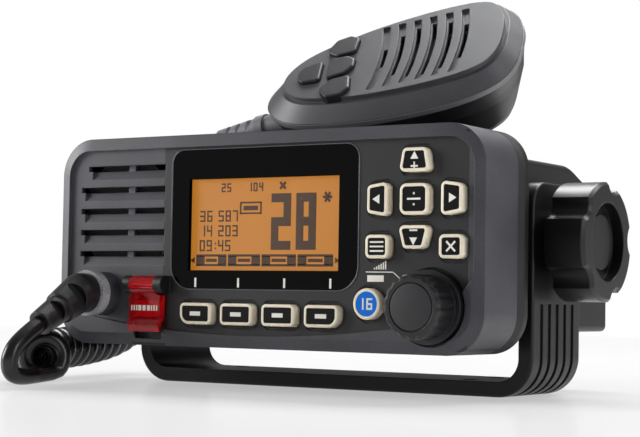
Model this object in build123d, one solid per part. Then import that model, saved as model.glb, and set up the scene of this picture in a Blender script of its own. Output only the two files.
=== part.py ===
from build123d import *
import os
from math import cos, pi, radians, sin, tan

# A fixed-mount VHF marine radio on its tilting bracket, with its fist microphone lying on top
# and a curly cord. Millimetres. The origin is on the floor under the middle of the bracket,
# +X is to the right as the front is seen, +Y goes to the back and +Z is up.

# ---------------------------------------------------------------- driving dimensions
# bracket
BRACKET_D = 34.0
BRACKET_WALL = 4.7
BRACKET_BEND_R = 11.8
BRACKET_EDGE_R = 0.8
ARM_H = 65.6
ARM_TOP_R = 8.0
TILT_Z = 47.6
GROOVE_COUNT = 5
GROOVE_W = 2.2
GROOVE_PITCH = 5.5
GROOVE_DEEP = 0.8
FOOT_HOLE_R = 2.6
FOOT_HOLE_X = 100.0
FOOT_HOLE_Y = 18.0

# clamp knobs
STUD_R = 4.0
STUD_REACH = 11.0
STUD_HEAD_R = 6.0
STUD_HEAD_T = 3.0
KNOB_R = 18.3
KNOB_T = 12.8
KNOB_LOBES = 5
NOTCH_R = 5.0
NOTCH_DEEP = 2.3
HUB_R = 10.0
HUB_T = 3.7
KNOB_DISH_R = 12.0
KNOB_DISH_DEEP = 3.8
KNOB_DOME_R = 8.5
KNOB_DOME_H = 1.5
WASHER_R = 11.0
WASHER_T = 2.2

# front panel
PANEL_W = 156.5
PANEL_H = 66.5
PANEL_R = 12.0
PANEL_D = 20.5
PANEL_REACH = 55.0
FLOOR_GAP = 13.35
FACE_WALL = 3.0
SIDE_WALL = 2.6
FRAME_RISE = 1.2
BEVEL_W = 3.7
FRAME_SIDE = 3.65
FRAME_TOP = 4.0
BOW_LEFT = 11.3
BOW_LEFT_H = 9.4
BOW_RIGHT = 20.0
BOW_RIGHT_H = 8.6
BOW_LOW = 3.9
BOW_SHARE = 0.575
GASKET_T = 4.6
SCREW_R = 1.5
SCREW_BOSS_R = 3.4

# chassis
FLANGE_OUT = 10.25
FLANGE_T = 2.4
CHASSIS_WALL = 3.0
CHASSIS_TOP = 26.7
CHASSIS_LOW = 27.0
CHASSIS_BACK = 53.5
SLOPE_Y = 21.0
SLOPE_DROP = 12.2
FIN_DEEP = 8.0
FIN_GAP = 6.4
FIN_PITCH = 8.8
FIN_COUNT = 15
POST_H = 10.0
CAN_W = 62.0
CAN_D = 42.0
CAN_H = 10.0
CAN_LEFT = 12.0

# window and display
WINDOW_LEFT = 45.45
WINDOW_RIGHT = 41.65
WINDOW_TOP = 4.65
WINDOW_BOTTOM = 17.95
WINDOW_R = 4.5
WINDOW_LOW_R = 7.5
WINDOW_T = 1.4
GLASS_BORDER_X = 6.2
GLASS_BORDER_TOP = 9.0
GLASS_BORDER_LOW = 5.4
DISPLAY_T = 4.6
BACKLIGHT_T = 3.2

# loudspeaker
SLOT_COUNT = 5
SLOT_PITCH = 6.9
SLOT_TOP = 8.95
SLOT_OPEN = 1.7
SLOT_LIP = 4.55
SLOT_DEEP = 1.6
SLOT_LEFT = 7.0
SLOT_LEN = 35.6
SLOT_HOOK = 2.9
RIB_X = 27.9
RIB_W = 2.6
SPEAKER_LEFT = 24.95
SPEAKER_R = 19.0
SPEAKER_T = 13.0
MESH_T = 0.4

# keys
KEY_RISE = 2.3
KEY_TRAVEL = 0.6
KEY_GAP = 0.35
KEY_LIP = 0.9
KEY_LIP_T = 0.4
WELL_W = 1.1
WELL_DEEP = 0.5
PAD_RIGHT = 22.0
PAD_CENTRE = 11.45
SOFT_W = 12.0
SOFT_H = 6.7
SOFT_PITCH = 15.47
SOFT_BOTTOM = 10.4
CHANNEL_KEY_R = 4.6
CHANNEL_KEY_X = 15.35
CHANNEL_KEY_BOTTOM = 14.3
MAT_T = 0.8
BOARD_T = 1.6

# volume control
DIAL_RIGHT = 16.95
DIAL_BOTTOM = 13.65
DIAL_R = 9.25
DIAL_REACH = 12.0
SKIRT_R = 10.75
SKIRT_T = 2.6
DIAL_FLUTES = 18
DIAL_FACE_R = 7.0
POCKET_DEEP = 1.0
SPINDLE_R = 3.0
PUSH_TRAVEL = 0.8
ENCODER_W = 13.0
ENCODER_T = 6.5

# distress key and its hinged cover
BARREL_R = 2.85
BARREL_OUT = 2.2
BARREL_Z = 14.0
EAR_LEFT = 29.7
EAR_RIGHT = 45.2
KNUCKLE_LEFT = 32.5
KNUCKLE_RIGHT = 42.1
PIN_R = 0.8
COVER_W = 12.2
COVER_T = 1.2
COVER_OUT = 2.8
COVER_TOP = 3.4
COVER_H = 8.2
LIP_OUT = 4.0
LIP_SLOPE = 1.2
LIP_H = 3.3
BAY_LOW = 5.6
BAY_DEEP = 1.5
DISTRESS_KEY_W = 9.2
DISTRESS_KEY_H = 5.0
DISTRESS_KEY_OUT = 1.1

# cord gland on the front
GLAND_LEFT = 18.75
GLAND_Z = 17.0
GLAND_R = 7.0
GLAND_OUT = 6.0
GLAND_RING_R = 7.3
GLAND_RING_T = 3.5
GLAND_TUBE_R = 4.0
BOOT_R = 6.25
BOOT_STUB = 3.0
BOOT_DROOP = 28.0
BOOT_BODY_L = 10.5
BOOT_L = 20.5
COLLAR_R = 4.6
CORD_R = 2.6
COIL_R = 7.3

# rear fittings
CONNECTOR_IN = 26.0
CONNECTOR_Z = 1.0
THREAD_R = 7.94
THREAD_L = 11.0
CONTACT_R = 2.05
LEAD_GLAND_R = 3.4
LEAD_GLAND_OUT = 9.0

# microphone
MIC_X = 36.1
MIC_BEHIND = 35.3
MIC_ABOVE = 28.0
MIC_YAW = 10.0
MIC_PITCH = 10.0
MIC_TILT = 43.0
MIC_SPIN = 2.6
MIC_WALL = 2.0
MIC_FRONT_H = 6.2
MIC_SEAM_T = 1.6
MIC_SEAM_OUT = 0.25
MIC_BACK = 28.0
MIC_MID_Z = -13.0
MIC_WAIST_Z = -16.5
MIC_SLOTS = 6
MIC_SLOT_PITCH = 5.4
MIC_SLOT_W = 1.5
MIC_SLOT_BOW_R = 90.0
MIC_KEY_RISE = 1.3
MIC_KEY_GAP = 0.2
MIC_KEY_LIP = 0.4
MIC_KEY_LIP_T = 0.5
MIC_KEY_TRAVEL = 0.4
PTT_OUT = 3.0
PTT_LOW = -10.0
PTT_HIGH = 24.0
PTT_DEEP = -23.0
PTT_W = 12.0
MIC_BOOT_L = 24.0
MIC_BOOT_R = 4.0
MIC_BOOT_FLANGE_R = 4.7
MIC_BOOT_DEEP = 5.8
MIC_BOOT_LOW = 2.5

# clearances
RUN = 0.05
EASY = 0.2
SEAT = 0.1

# ---------------------------------------------------------------- places worked out from them
MID_Z = FLOOR_GAP + PANEL_H / 2
RIM_Y = -PANEL_REACH
CREST_Y = RIM_Y - FRAME_RISE
WALL_Y = RIM_Y + FACE_WALL
GASKET_Y = RIM_Y + PANEL_D
FLANGE_Y = GASKET_Y + GASKET_T
BODY_Y = FLANGE_Y + FLANGE_T
LEFT = -PANEL_W / 2
RIGHT = PANEL_W / 2
TOP = PANEL_H / 2
BOTTOM = -PANEL_H / 2
CHASSIS_X = PANEL_W / 2 - FLANGE_OUT
ARM_IN = CHASSIS_X + SEAT + WASHER_T
BRACKET_W = 2 * (ARM_IN + BRACKET_WALL)
FIN_Y = CHASSIS_BACK - FIN_DEEP
LIP_Y = WALL_Y + SEAT
MAT_Y = LIP_Y + KEY_LIP_T + KEY_TRAVEL + EASY
BOARD_Y = MAT_Y + MAT_T
BOARD_BACK = BOARD_Y + BOARD_T
BOARD_Z = MID_Z - CHASSIS_LOW + CHASSIS_WALL + POST_H
CAVITY_X = CHASSIS_X - CHASSIS_WALL
CONNECTOR_X = CHASSIS_X - CONNECTOR_IN
os.makedirs("parts", exist_ok=True)


def front(y):
    """Sketch plane at depth y, seen from the front, its centre at the panel's middle."""
    return Plane(origin=(0, y, MID_Z), x_dir=(1, 0, 0), z_dir=(0, -1, 0))


def slab(sketch, y_front, y_back):
    """Solid with a front-view outline, from one depth to another."""
    return extrude(front(y_back) * sketch, amount=y_back - y_front)


def side(x, z=TILT_Z):
    """Sketch plane at x, its own x along +Y and its y along +Z."""
    return Plane(origin=(x, 0, z), x_dir=(0, 1, 0), z_dir=(1, 0, 0))


def rod(r, x_low, x_high):
    """Round bar along X on the tilt axis."""
    return extrude(side(x_low) * Circle(r), amount=x_high - x_low)


def block(x_low, x_high, z_low, z_high):
    """Front-view rectangle between four edges."""
    middle = Pos((x_low + x_high) / 2, (z_low + z_high) / 2)
    return middle * Rectangle(x_high - x_low, z_high - z_low)


def outline(shrink=0.0):
    """Front-view outline of the panel, drawn in by shrink."""
    corner = max(PANEL_R - shrink, 1.0)
    return RectangleRounded(PANEL_W - 2 * shrink, PANEL_H - 2 * shrink, corner)


def rounded(points, r):
    """Closed front-view shape through points, with all its corners rounded."""
    turn = sum(a[0] * b[1] - b[0] * a[1] for a, b in zip(points, points[1:] + points[:1]))
    if turn < 0:
        points = points[::-1]
    shape = Polygon(*points, align=None)
    return fillet(shape.vertices(), r)


def bar(sketch, x_low, x_high, y, z):
    """Solid along X with a side-view outline centred at depth y and height z above the panel's middle."""
    plane = Plane(origin=(x_low, y, MID_Z + z), x_dir=(0, 1, 0), z_dir=(1, 0, 0))
    return extrude(plane * sketch, amount=x_high - x_low)


def put(name, solid, group=False):
    """Write one node as a STEP file."""
    if group:
        solid = Compound(children=list(solid))
    solid.label = name
    export_step(solid, f"parts/{name}.step")


def both_sides(solid):
    """The solid and its mirror image across the middle."""
    return [solid, mirror(solid, about=Plane.YZ)]


# ---------------------------------------------------------------- bracket
def bracket_outline(shrink):
    """Outer front-view line of the U, drawn in by shrink, open upwards past the arms."""
    half = BRACKET_W / 2 - shrink
    high = ARM_H + BRACKET_BEND_R
    shape = Polygon((-half, shrink), (half, shrink), (half, high), (-half, high), align=None)
    low = shape.vertices().group_by(Axis.Y)[0]
    return fillet(low, BRACKET_BEND_R - shrink)


def across(sketch, y_low, y_high):
    """Solid with an X-Z outline measured from the floor, between two depths."""
    plane = Plane(origin=(0, y_high, 0), x_dir=(1, 0, 0), z_dir=(0, -1, 0))
    return extrude(plane * sketch, amount=y_high - y_low)


def make_bracket():
    half_d = BRACKET_D / 2
    strap = bracket_outline(0) - bracket_outline(BRACKET_WALL)
    strap &= Pos(0, ARM_H / 2) * Rectangle(BRACKET_W + 1, ARM_H)
    body = across(strap, -half_d, half_d)
    tips = body.edges().filter_by(Axis.X).group_by(Axis.Z)[-1]
    body = fillet(tips, ARM_TOP_R)
    rims = [e for e in body.edges() if abs(abs(e.center().Y) - half_d) < 0.01]
    outer = [e for e in rims if abs(e.center().X) > ARM_IN + 0.6 * BRACKET_WALL]
    body = fillet(outer, BRACKET_EDGE_R)
    grooved = bracket_outline(0) - bracket_outline(GROOVE_DEEP)
    groove_top = TILT_Z - KNOB_R - GROOVE_DEEP
    inner_x = BRACKET_W / 2 - BRACKET_BEND_R
    for lane in range(GROOVE_COUNT):
        y = (lane - (GROOVE_COUNT - 1) / 2) * GROOVE_PITCH
        for sign in (-1, 1):
            window = Pos(sign * (inner_x + BRACKET_BEND_R), groove_top / 2)
            reach = grooved & (window * Rectangle(2 * BRACKET_BEND_R, groove_top))
            body -= across(reach, y - GROOVE_W / 2, y + GROOVE_W / 2)
    body -= rod(STUD_R + EASY, -BRACKET_W, BRACKET_W)
    for x in (-FOOT_HOLE_X / 2, FOOT_HOLE_X / 2):
        for y in (-FOOT_HOLE_Y / 2, FOOT_HOLE_Y / 2):
            body -= Pos(x, y, 0) * Cylinder(FOOT_HOLE_R, 4 * BRACKET_WALL)
    put("mounting_bracket", body)


# ---------------------------------------------------------------- clamp knobs and studs
def make_knobs():
    start = BRACKET_W / 2 + EASY
    grip = start + HUB_T
    end = grip + KNOB_T
    head = grip + KNOB_T / 2
    stud = rod(STUD_R, CHASSIS_X - STUD_REACH, head)
    stud += rod(STUD_HEAD_R, head - STUD_HEAD_T, head)
    face = Circle(KNOB_R)
    for lobe in range(KNOB_LOBES):
        angle = 3 + lobe * 360 / KNOB_LOBES
        far = KNOB_R - NOTCH_DEEP + NOTCH_R
        face -= Pos(far * cos(radians(angle)), far * sin(radians(angle))) * Circle(NOTCH_R)
    knob = extrude(side(grip) * face, amount=KNOB_T)
    knob = chamfer(knob.edges().group_by(Axis.X)[-1], 1.0)
    knob -= rod(KNOB_DISH_R, end - KNOB_DISH_DEEP, end + 1)
    knob += rod(KNOB_DOME_R, end - KNOB_DISH_DEEP - 0.5, end - KNOB_DISH_DEEP + KNOB_DOME_H)
    knob += rod(HUB_R, start, grip + 0.5)
    knob -= stud
    put("clamp_knob_right", knob)
    put("clamp_stud_right", stud)
    put("clamp_knob_left", mirror(knob, about=Plane.YZ))
    put("clamp_stud_left", mirror(stud, about=Plane.YZ))
    washer = rod(WASHER_R, CHASSIS_X, CHASSIS_X + WASHER_T)
    washer -= rod(STUD_R + EASY, CHASSIS_X - 1, ARM_IN)
    put("tilt_washers", both_sides(washer), group=True)


# ---------------------------------------------------------------- front-view outlines of the keys
PAD_X = RIGHT - PAD_RIGHT
SOFT_Z = BOTTOM + SOFT_BOTTOM
WIN_L = LEFT + WINDOW_LEFT
WIN_R = RIGHT - WINDOW_RIGHT
WIN_T = TOP - WINDOW_TOP
WIN_B = BOTTOM + WINDOW_BOTTOM
DIAL_X = RIGHT - DIAL_RIGHT
DIAL_Z = BOTTOM + DIAL_BOTTOM
GLAND_X = LEFT + GLAND_LEFT
BARREL_Y = RIM_Y - BARREL_OUT
COVER_X = LEFT + (KNUCKLE_LEFT + KNUCKLE_RIGHT) / 2


def pad(points, r):
    """Key outline given from the middle of the key pad."""
    return rounded([(PAD_X + x, PAD_CENTRE + z) for x, z in points], r)


def soft_key(index):
    """One of the four keys under the window, the outer two with one corner drawn round."""
    x = (WIN_L + WIN_R) / 2 + (index - 1.5) * SOFT_PITCH
    shape = block(x - SOFT_W / 2, x + SOFT_W / 2, SOFT_Z - SOFT_H / 2, SOFT_Z + SOFT_H / 2)
    low = shape.vertices().group_by(Axis.Y)[0].sort_by(Axis.X)
    small = 1.6
    large = SOFT_H / 2
    if index in (0, 3):
        round_one = low[0] if index == 0 else low[1]
        others = [v for v in shape.vertices() if (v.center() - round_one.center()).length > 0.1]
        shape = fillet(others, small)
        close = [v for v in shape.vertices() if (v.center() - round_one.center()).length < 0.1]
        return fillet(close, large)
    return fillet(shape.vertices(), small)


def key_outlines():
    """Each key of the front panel by its name."""
    keys = {f"key_soft_{n + 1}": soft_key(n) for n in range(4)}
    keys["key_channel"] = Pos(PAD_X - CHANNEL_KEY_X, BOTTOM + CHANNEL_KEY_BOTTOM) * Circle(CHANNEL_KEY_R)
    keys["key_enter"] = pad([(-4.75, -4.55), (4.75, -4.55), (4.75, 4.55), (-4.75, 4.55)], 2.1)
    keys["key_up"] = pad([(-5.1, 7.85), (5.1, 7.85), (3.9, 14.85), (-3.9, 14.85)], 1.6)
    keys["key_down"] = pad([(-5.2, -7.55), (5.2, -7.55), (3.4, -14.35), (-3.4, -14.35)], 1.6)
    keys["key_left"] = pad([(-15.7, -3.9), (-8.8, -5.0), (-8.8, 5.2), (-15.7, 4.2)], 1.6)
    keys["key_right"] = pad([(15.7, -3.9), (8.8, -5.0), (8.8, 5.2), (15.7, 4.2)], 1.6)
    keys["key_menu"] = pad([(-16.1, -17.15), (-8.3, -17.15), (-8.3, -10.2), (-16.1, -10.2)], 1.7)
    keys["key_clear"] = pad([(16.1, -17.15), (8.3, -17.15), (8.3, -10.2), (16.1, -10.2)], 1.7)
    return keys


# ---------------------------------------------------------------- front panel
def recess_outline():
    """The sunk face inside the raised frame, its lower edge one long bow."""
    left = LEFT + FRAME_SIDE
    right = RIGHT - FRAME_SIDE + 0.5
    top = TOP - FRAME_TOP
    low_left = (LEFT + BOW_LEFT, BOTTOM + BOW_LEFT_H)
    low_right = (RIGHT - BOW_RIGHT, BOTTOM + BOW_RIGHT_H)
    bow = (low_left[0] + BOW_SHARE * (low_right[0] - low_left[0]), BOTTOM + BOW_LOW)
    line = Polyline(
        low_right,
        (RIGHT - 7.2, BOTTOM + 17.2),
        (right, BOTTOM + 22.3),
        (right, top),
        (left, top),
        (left, BOTTOM + 21.3),
        low_left,
    )
    line += ThreePointArc(low_left, bow, low_right)
    face = make_face(line)
    high = face.vertices().group_by(Axis.Y)[-1]
    return fillet(high, PANEL_R - FRAME_SIDE)


def speaker_cuts():
    """Through slots with a sloped lip below each, and the lips' hooked left ends."""
    left = LEFT + SLOT_LEFT
    right = left + SLOT_LEN
    cut = []
    for row in range(SLOT_COUNT):
        top = TOP - SLOT_TOP - row * SLOT_PITCH
        hook = SLOT_HOOK if row == 0 else 0.0
        start = left + hook
        throat = block(start + 1.0, right, top - SLOT_OPEN, top)
        cut.append(slab(throat, RIM_Y - 1, WALL_Y + 1))
        wedge = Polygon(
            (-1.0, 0.0),
            (-1.0, -SLOT_LIP),
            (0.0, -SLOT_LIP),
            (SLOT_DEEP, -SLOT_OPEN),
            (SLOT_DEEP, 0.0),
            align=None,
        )
        cut.append(bar(wedge, start + 2.6, right, RIM_Y, top))
        tail = Polygon(
            (start, top),
            (start + 4, top),
            (start + 3.2, top - 1.9 * SLOT_OPEN),
            (start + 2.0, top - 2.3 * SLOT_OPEN),
            (start + 0.5, top - 1.3 * SLOT_OPEN),
            align=None,
        )
        cut.append(slab(tail, RIM_Y - 1, RIM_Y + SLOT_DEEP))
    return cut


def screw_places():
    """Front-view places of the four screws that close the case."""
    x = PANEL_W / 2 - SIDE_WALL - 3.1
    z = PANEL_H / 2 - PANEL_R
    return [(sx * x, sz * z) for sx in (-1, 1) for sz in (-1, 1)]


def make_panel():
    body = slab(outline(), CREST_Y, GASKET_Y)
    crest = body.edges().group_by(Axis.Y)[0]
    nose = body.faces().sort_by(Axis.Y)[0]
    body = chamfer(crest, BEVEL_W, FRAME_RISE, reference=nose)
    body -= slab(outline(SIDE_WALL), WALL_Y, GASKET_Y + 1)
    body -= slab(recess_outline(), CREST_Y - 1, RIM_Y)
    for x, z in screw_places():
        body += slab(Pos(x, z) * Circle(SCREW_BOSS_R), WALL_Y - 0.5, GASKET_Y) & slab(
            outline(0.5), WALL_Y - 0.5, GASKET_Y
        )
        body -= slab(Pos(x, z) * Circle(SCREW_R), GASKET_Y - 12, GASKET_Y + 1)
    # loudspeaker grille
    for piece in speaker_cuts():
        body -= piece
    rib_x = LEFT + RIB_X
    rib_low = TOP - SLOT_TOP - SLOT_PITCH * SLOT_COUNT
    rib = block(rib_x - RIB_W / 2, rib_x + RIB_W / 2, rib_low, TOP - SLOT_TOP + 1)
    body += slab(rib, RIM_Y + 1.5, WALL_Y)
    # window seat and the opening behind it
    seat = window_outline(SEAT)
    body -= slab(seat, RIM_Y - 1, RIM_Y + WINDOW_T)
    body -= slab(glass_outline(KEY_GAP), RIM_Y, WALL_Y + 1)
    # keys
    for shape in key_outlines().values():
        body -= slab(offset(shape, WELL_W), RIM_Y - 3, RIM_Y + WELL_DEEP)
        body -= slab(offset(shape, KEY_GAP), RIM_Y - 3, WALL_Y + 1)
    # volume knob pocket
    dial = Pos(DIAL_X, DIAL_Z)
    body -= slab(dial * Circle(SKIRT_R + 3 * EASY), CREST_Y - 1, RIM_Y + POCKET_DEEP)
    body -= slab(dial * Circle(SPINDLE_R + 1.5 * EASY), RIM_Y, WALL_Y + 1)
    # distress key bay, finger recess and hinge ears
    cover_low = -BARREL_Z - COVER_TOP - COVER_H
    bay_half = COVER_W / 2 + 3 * EASY
    body -= slab(block(COVER_X - bay_half, COVER_X + bay_half, cover_low - LIP_H, -BARREL_Z), CREST_Y - 1, RIM_Y)
    recess_low = cover_low - BAY_LOW
    recess = Polygon(
        (COVER_X - COVER_W / 2, cover_low),
        (COVER_X - COVER_W / 2 + 1.0, recess_low),
        (COVER_X + COVER_W / 2 - 0.6, recess_low),
        (COVER_X + COVER_W / 2, cover_low),
        align=None,
    )
    body -= slab(recess, CREST_Y - 1, RIM_Y + BAY_DEEP)
    key = distress_outline()
    body -= slab(offset(key, KEY_GAP), RIM_Y - 3, WALL_Y + 1)
    ear = Circle(BARREL_R) + Pos(BARREL_R / 2, 0) * Rectangle(BARREL_R, 2 * BARREL_R)
    for low, high in ((EAR_LEFT, KNUCKLE_LEFT), (KNUCKLE_RIGHT, EAR_RIGHT)):
        body += bar(ear, LEFT + low, LEFT + high, BARREL_Y, -BARREL_Z)
    relief = Circle(BARREL_R + KEY_GAP)
    body -= bar(relief, LEFT + KNUCKLE_LEFT, LEFT + KNUCKLE_RIGHT, BARREL_Y, -BARREL_Z)
    body -= hinge_pin()
    # cord gland boss
    gland = Pos(GLAND_X, -GLAND_Z)
    body += slab(gland * Circle(GLAND_R), RIM_Y - GLAND_OUT, RIM_Y + 0.5)
    body -= slab(gland * Circle(GLAND_TUBE_R + SEAT), RIM_Y - GLAND_OUT - 1, WALL_Y + 1)
    put("front_panel", body)


def window_outline(grow):
    """Front-view outline of the window, its two lower corners rounder."""
    shape = block(WIN_L - grow, WIN_R + grow, WIN_B - grow, WIN_T + grow)
    rows = shape.vertices().group_by(Axis.Y)
    shape = fillet(rows[0], WINDOW_LOW_R + grow)
    return fillet(shape.vertices().group_by(Axis.Y)[-1], WINDOW_R + grow)


def glass_outline(grow):
    """Front-view outline of the display glass behind the window."""
    return block(
        WIN_L + GLASS_BORDER_X - grow,
        WIN_R - GLASS_BORDER_X + grow,
        WIN_B + GLASS_BORDER_LOW - grow,
        WIN_T - GLASS_BORDER_TOP + grow,
    )


def make_window_and_display():
    put("display_window", slab(window_outline(0), RIM_Y, RIM_Y + WINDOW_T))
    glass_y = RIM_Y + WINDOW_T + SEAT
    module = slab(glass_outline(0), glass_y, WALL_Y + SEAT + 1)
    module += slab(glass_outline(2.0), WALL_Y + SEAT, WALL_Y + DISPLAY_T)
    put("display_module", module)
    light = slab(glass_outline(1.2), WALL_Y + DISPLAY_T, WALL_Y + DISPLAY_T + BACKLIGHT_T)
    put("display_backlight", light)


# ---------------------------------------------------------------- keys, mat and front board
def make_keys():
    for name, shape in key_outlines().items():
        lip = slab(offset(shape, KEY_LIP), LIP_Y, LIP_Y + KEY_LIP_T)
        cap = slab(shape, RIM_Y - KEY_RISE, LIP_Y + KEY_LIP_T / 2)
        cap = fillet(cap.edges().group_by(Axis.Y)[0], 0.5)
        put(name, cap + lip)


def mat_outline():
    """The rubber mat follows the key pad on the right and the row of keys below the window."""
    right = RIGHT - SIDE_WALL - 1.5
    left = WIN_L - 2.5
    low = SOFT_Z - SOFT_H / 2 - 1.2
    shape = block(WIN_R + 1.0, right, SOFT_Z - SOFT_H / 2 - 1.2, TOP - SIDE_WALL - 2.5)
    shape += block(left, right, low, SOFT_Z + SOFT_H / 2 + 1.2)
    shape -= Pos(DIAL_X, DIAL_Z) * Circle(SPINDLE_R + 2.2)
    for x, z in screw_places():
        shape -= Pos(x, z) * Circle(SCREW_BOSS_R + 2 * EASY)
    for x, z in board_screw_places():
        shape -= Pos(x, z) * Circle(2.0)
    return shape & outline(SIDE_WALL + 2 * EASY)


def make_mat_and_board():
    put("keypad_mat", slab(mat_outline(), MAT_Y, BOARD_Y))
    shape = block(LEFT + EAR_LEFT + 1.5, RIGHT - SIDE_WALL - 1, BOTTOM + SIDE_WALL + 0.8, TOP - SIDE_WALL - 1)
    speaker_side = block(LEFT, LEFT + SLOT_LEFT + SLOT_LEN + 3, -TOP / 3, TOP)
    shape -= speaker_side
    shape -= glass_outline(2.0 + KEY_GAP)
    shape -= Pos(DIAL_X, DIAL_Z) * Circle(SPINDLE_R + 2 * EASY)
    for x, z in screw_places():
        shape -= Pos(x, z) * Circle(SCREW_BOSS_R + 2 * EASY)
    for x, z in board_screw_places():
        shape -= Pos(x, z) * Circle(1.0 + RUN)
    put("front_board", slab(shape & outline(SIDE_WALL + 2 * EASY), BOARD_Y, BOARD_BACK))


def board_screw_places():
    """Small screws that hold the front board to posts on the panel."""
    return [(WIN_R + 2.2, TOP - 8.0), (WIN_L - 2.0, -BARREL_Z + 4.0), (RIGHT - 28.0, BOTTOM + 5.4)]


# ---------------------------------------------------------------- volume control
def make_volume():
    axis = Pos(DIAL_X, DIAL_Z)
    front_y = RIM_Y - DIAL_REACH
    floor_y = RIM_Y + POCKET_DEEP
    back_y = floor_y - PUSH_TRAVEL - EASY * 2
    grip = Circle(DIAL_R)
    for flute in range(DIAL_FLUTES):
        a = 2 * pi * flute / DIAL_FLUTES
        far = DIAL_R + 1.1
        grip -= Pos(far * cos(a), far * sin(a)) * Circle(1.4)
    knob = slab(axis * grip, front_y, back_y - 0.5)
    knob = chamfer(knob.edges().group_by(Axis.Y)[0], 0.8)
    knob += slab(axis * Circle(SKIRT_R), back_y - SKIRT_T, back_y)
    knob -= slab(axis * Circle(DIAL_FACE_R), front_y - 1, front_y + 0.6)
    bore_front = front_y + 3.0
    knob -= slab(axis * Circle(SPINDLE_R + RUN), bore_front, back_y + 1)
    put("volume_knob", knob)
    spindle_end = BOARD_BACK + ENCODER_T - 1.5 - PUSH_TRAVEL
    put("volume_spindle", slab(axis * Circle(SPINDLE_R), bore_front + EASY / 2, spindle_end))
    case = axis * RectangleRounded(ENCODER_W, ENCODER_W, 1.0)
    encoder = slab(case, BOARD_BACK, BOARD_BACK + ENCODER_T)
    encoder -= slab(axis * Circle(SPINDLE_R + RUN), BOARD_BACK - 1, spindle_end + PUSH_TRAVEL + EASY)
    put("volume_encoder", encoder)


# ---------------------------------------------------------------- distress key and cover
def hinge_pin():
    """The steel pin through the ears and the cover's knuckle."""
    inset = PIN_R
    return bar(Circle(PIN_R), LEFT + EAR_LEFT + inset, LEFT + EAR_RIGHT - inset, BARREL_Y, -BARREL_Z)


def distress_outline():
    """Front-view outline of the distress key under its cover."""
    z = -BARREL_Z - COVER_TOP - COVER_H + COVER_T + KEY_GAP + DISTRESS_KEY_H / 2
    shape = Pos(COVER_X, z) * Rectangle(DISTRESS_KEY_W, DISTRESS_KEY_H)
    return fillet(shape.vertices(), 1.0)


def make_distress():
    put("distress_hinge_pin", hinge_pin())
    top = -BARREL_Z - COVER_TOP
    low = top - COVER_H
    left = COVER_X - COVER_W / 2
    right = COVER_X + COVER_W / 2
    out = RIM_Y - COVER_OUT
    plate = slab(block(left, right, low, top), out, RIM_Y - EASY)
    hollow = block(left + COVER_T, right - COVER_T, low + COVER_T, top + 1)
    plate -= slab(hollow, out + COVER_T, RIM_Y)
    lip = Polygon(
        (-COVER_OUT, 0.5),
        (-LIP_OUT, -LIP_SLOPE),
        (COVER_OUT / 2 - LIP_OUT, -LIP_H),
        (-EASY - COVER_OUT / 2, -LIP_SLOPE),
        (-EASY - COVER_OUT / 2, 0.5),
        align=None,
    )
    plate += bar(lip, left, right, RIM_Y, low)
    knuckle_left = LEFT + KNUCKLE_LEFT + SEAT
    knuckle_right = LEFT + KNUCKLE_RIGHT - SEAT
    plate += bar(Circle(BARREL_R), knuckle_left, knuckle_right, BARREL_Y, -BARREL_Z)
    plate += slab(block(knuckle_left, knuckle_right, top - 0.5, -BARREL_Z), out, out + COVER_T)
    plate -= bar(Circle(PIN_R + RUN), knuckle_left, knuckle_right, BARREL_Y, -BARREL_Z)
    put("distress_cover", plate)
    shape = distress_outline()
    key = slab(shape, RIM_Y - DISTRESS_KEY_OUT, LIP_Y + KEY_LIP_T / 2)
    key += slab(offset(shape, KEY_LIP), LIP_Y, LIP_Y + KEY_LIP_T)
    put("distress_key", key)


# ---------------------------------------------------------------- loudspeaker
def make_speaker():
    middle_z = TOP - SLOT_TOP - SLOT_PITCH * (SLOT_COUNT - 1) / 2 - SLOT_LIP / 2
    axis = Pos(LEFT + SPEAKER_LEFT, middle_z)
    mesh_y = WALL_Y + SEAT
    put("speaker_mesh", slab(axis * Circle(SPEAKER_R - 0.5), mesh_y, mesh_y + MESH_T))
    rim_y = mesh_y + MESH_T
    frame = slab(axis * Circle(SPEAKER_R), rim_y, rim_y + 2.5)
    frame += slab(axis * Circle(SPEAKER_R - 5), rim_y, rim_y + SPEAKER_T)
    frame -= slab(axis * Circle(SPEAKER_R - 1.5), rim_y - 1, rim_y + 2.0)
    frame -= slab(axis * Circle(SPEAKER_R - 7), rim_y - 1, rim_y + SPEAKER_T - 5)
    put("speaker_frame", frame)
    cone = slab(axis * Circle(SPEAKER_R - 1.6), rim_y + 1.0, rim_y + 1.9)
    cone += slab(axis * Circle(SPEAKER_R - 7.3), rim_y + 1.0, rim_y + SPEAKER_T - 5.2)
    cone -= slab(axis * Circle(SPEAKER_R - 8.2), rim_y, rim_y + SPEAKER_T - 6.2)
    put("speaker_cone", cone)


# ---------------------------------------------------------------- gasket and chassis
def profile(shrink, y_front):
    """Side view of the chassis, its top falling away to the back, drawn in by shrink."""
    back = CHASSIS_BACK if shrink == 0 else FIN_Y - shrink
    top = CHASSIS_TOP - shrink
    fall = SLOPE_DROP * (back - SLOPE_Y) / (CHASSIS_BACK - SLOPE_Y)
    low = -CHASSIS_LOW + shrink
    points = [(y_front, low), (back, low), (back, top - fall), (SLOPE_Y, top), (y_front, top)]
    return Polygon(*points, align=None)


def side_solid(sketch, half):
    """Side-view outline drawn out to both sides, measured from the panel's middle height."""
    return extrude(side(-half, MID_Z) * sketch, amount=2 * half)


def connector_axes():
    """Front-view places of the aerial socket and of the power lead's gland on the back."""
    return (-CONNECTOR_X, CONNECTOR_Z), (CONNECTOR_X, CONNECTOR_Z - 8)


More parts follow.
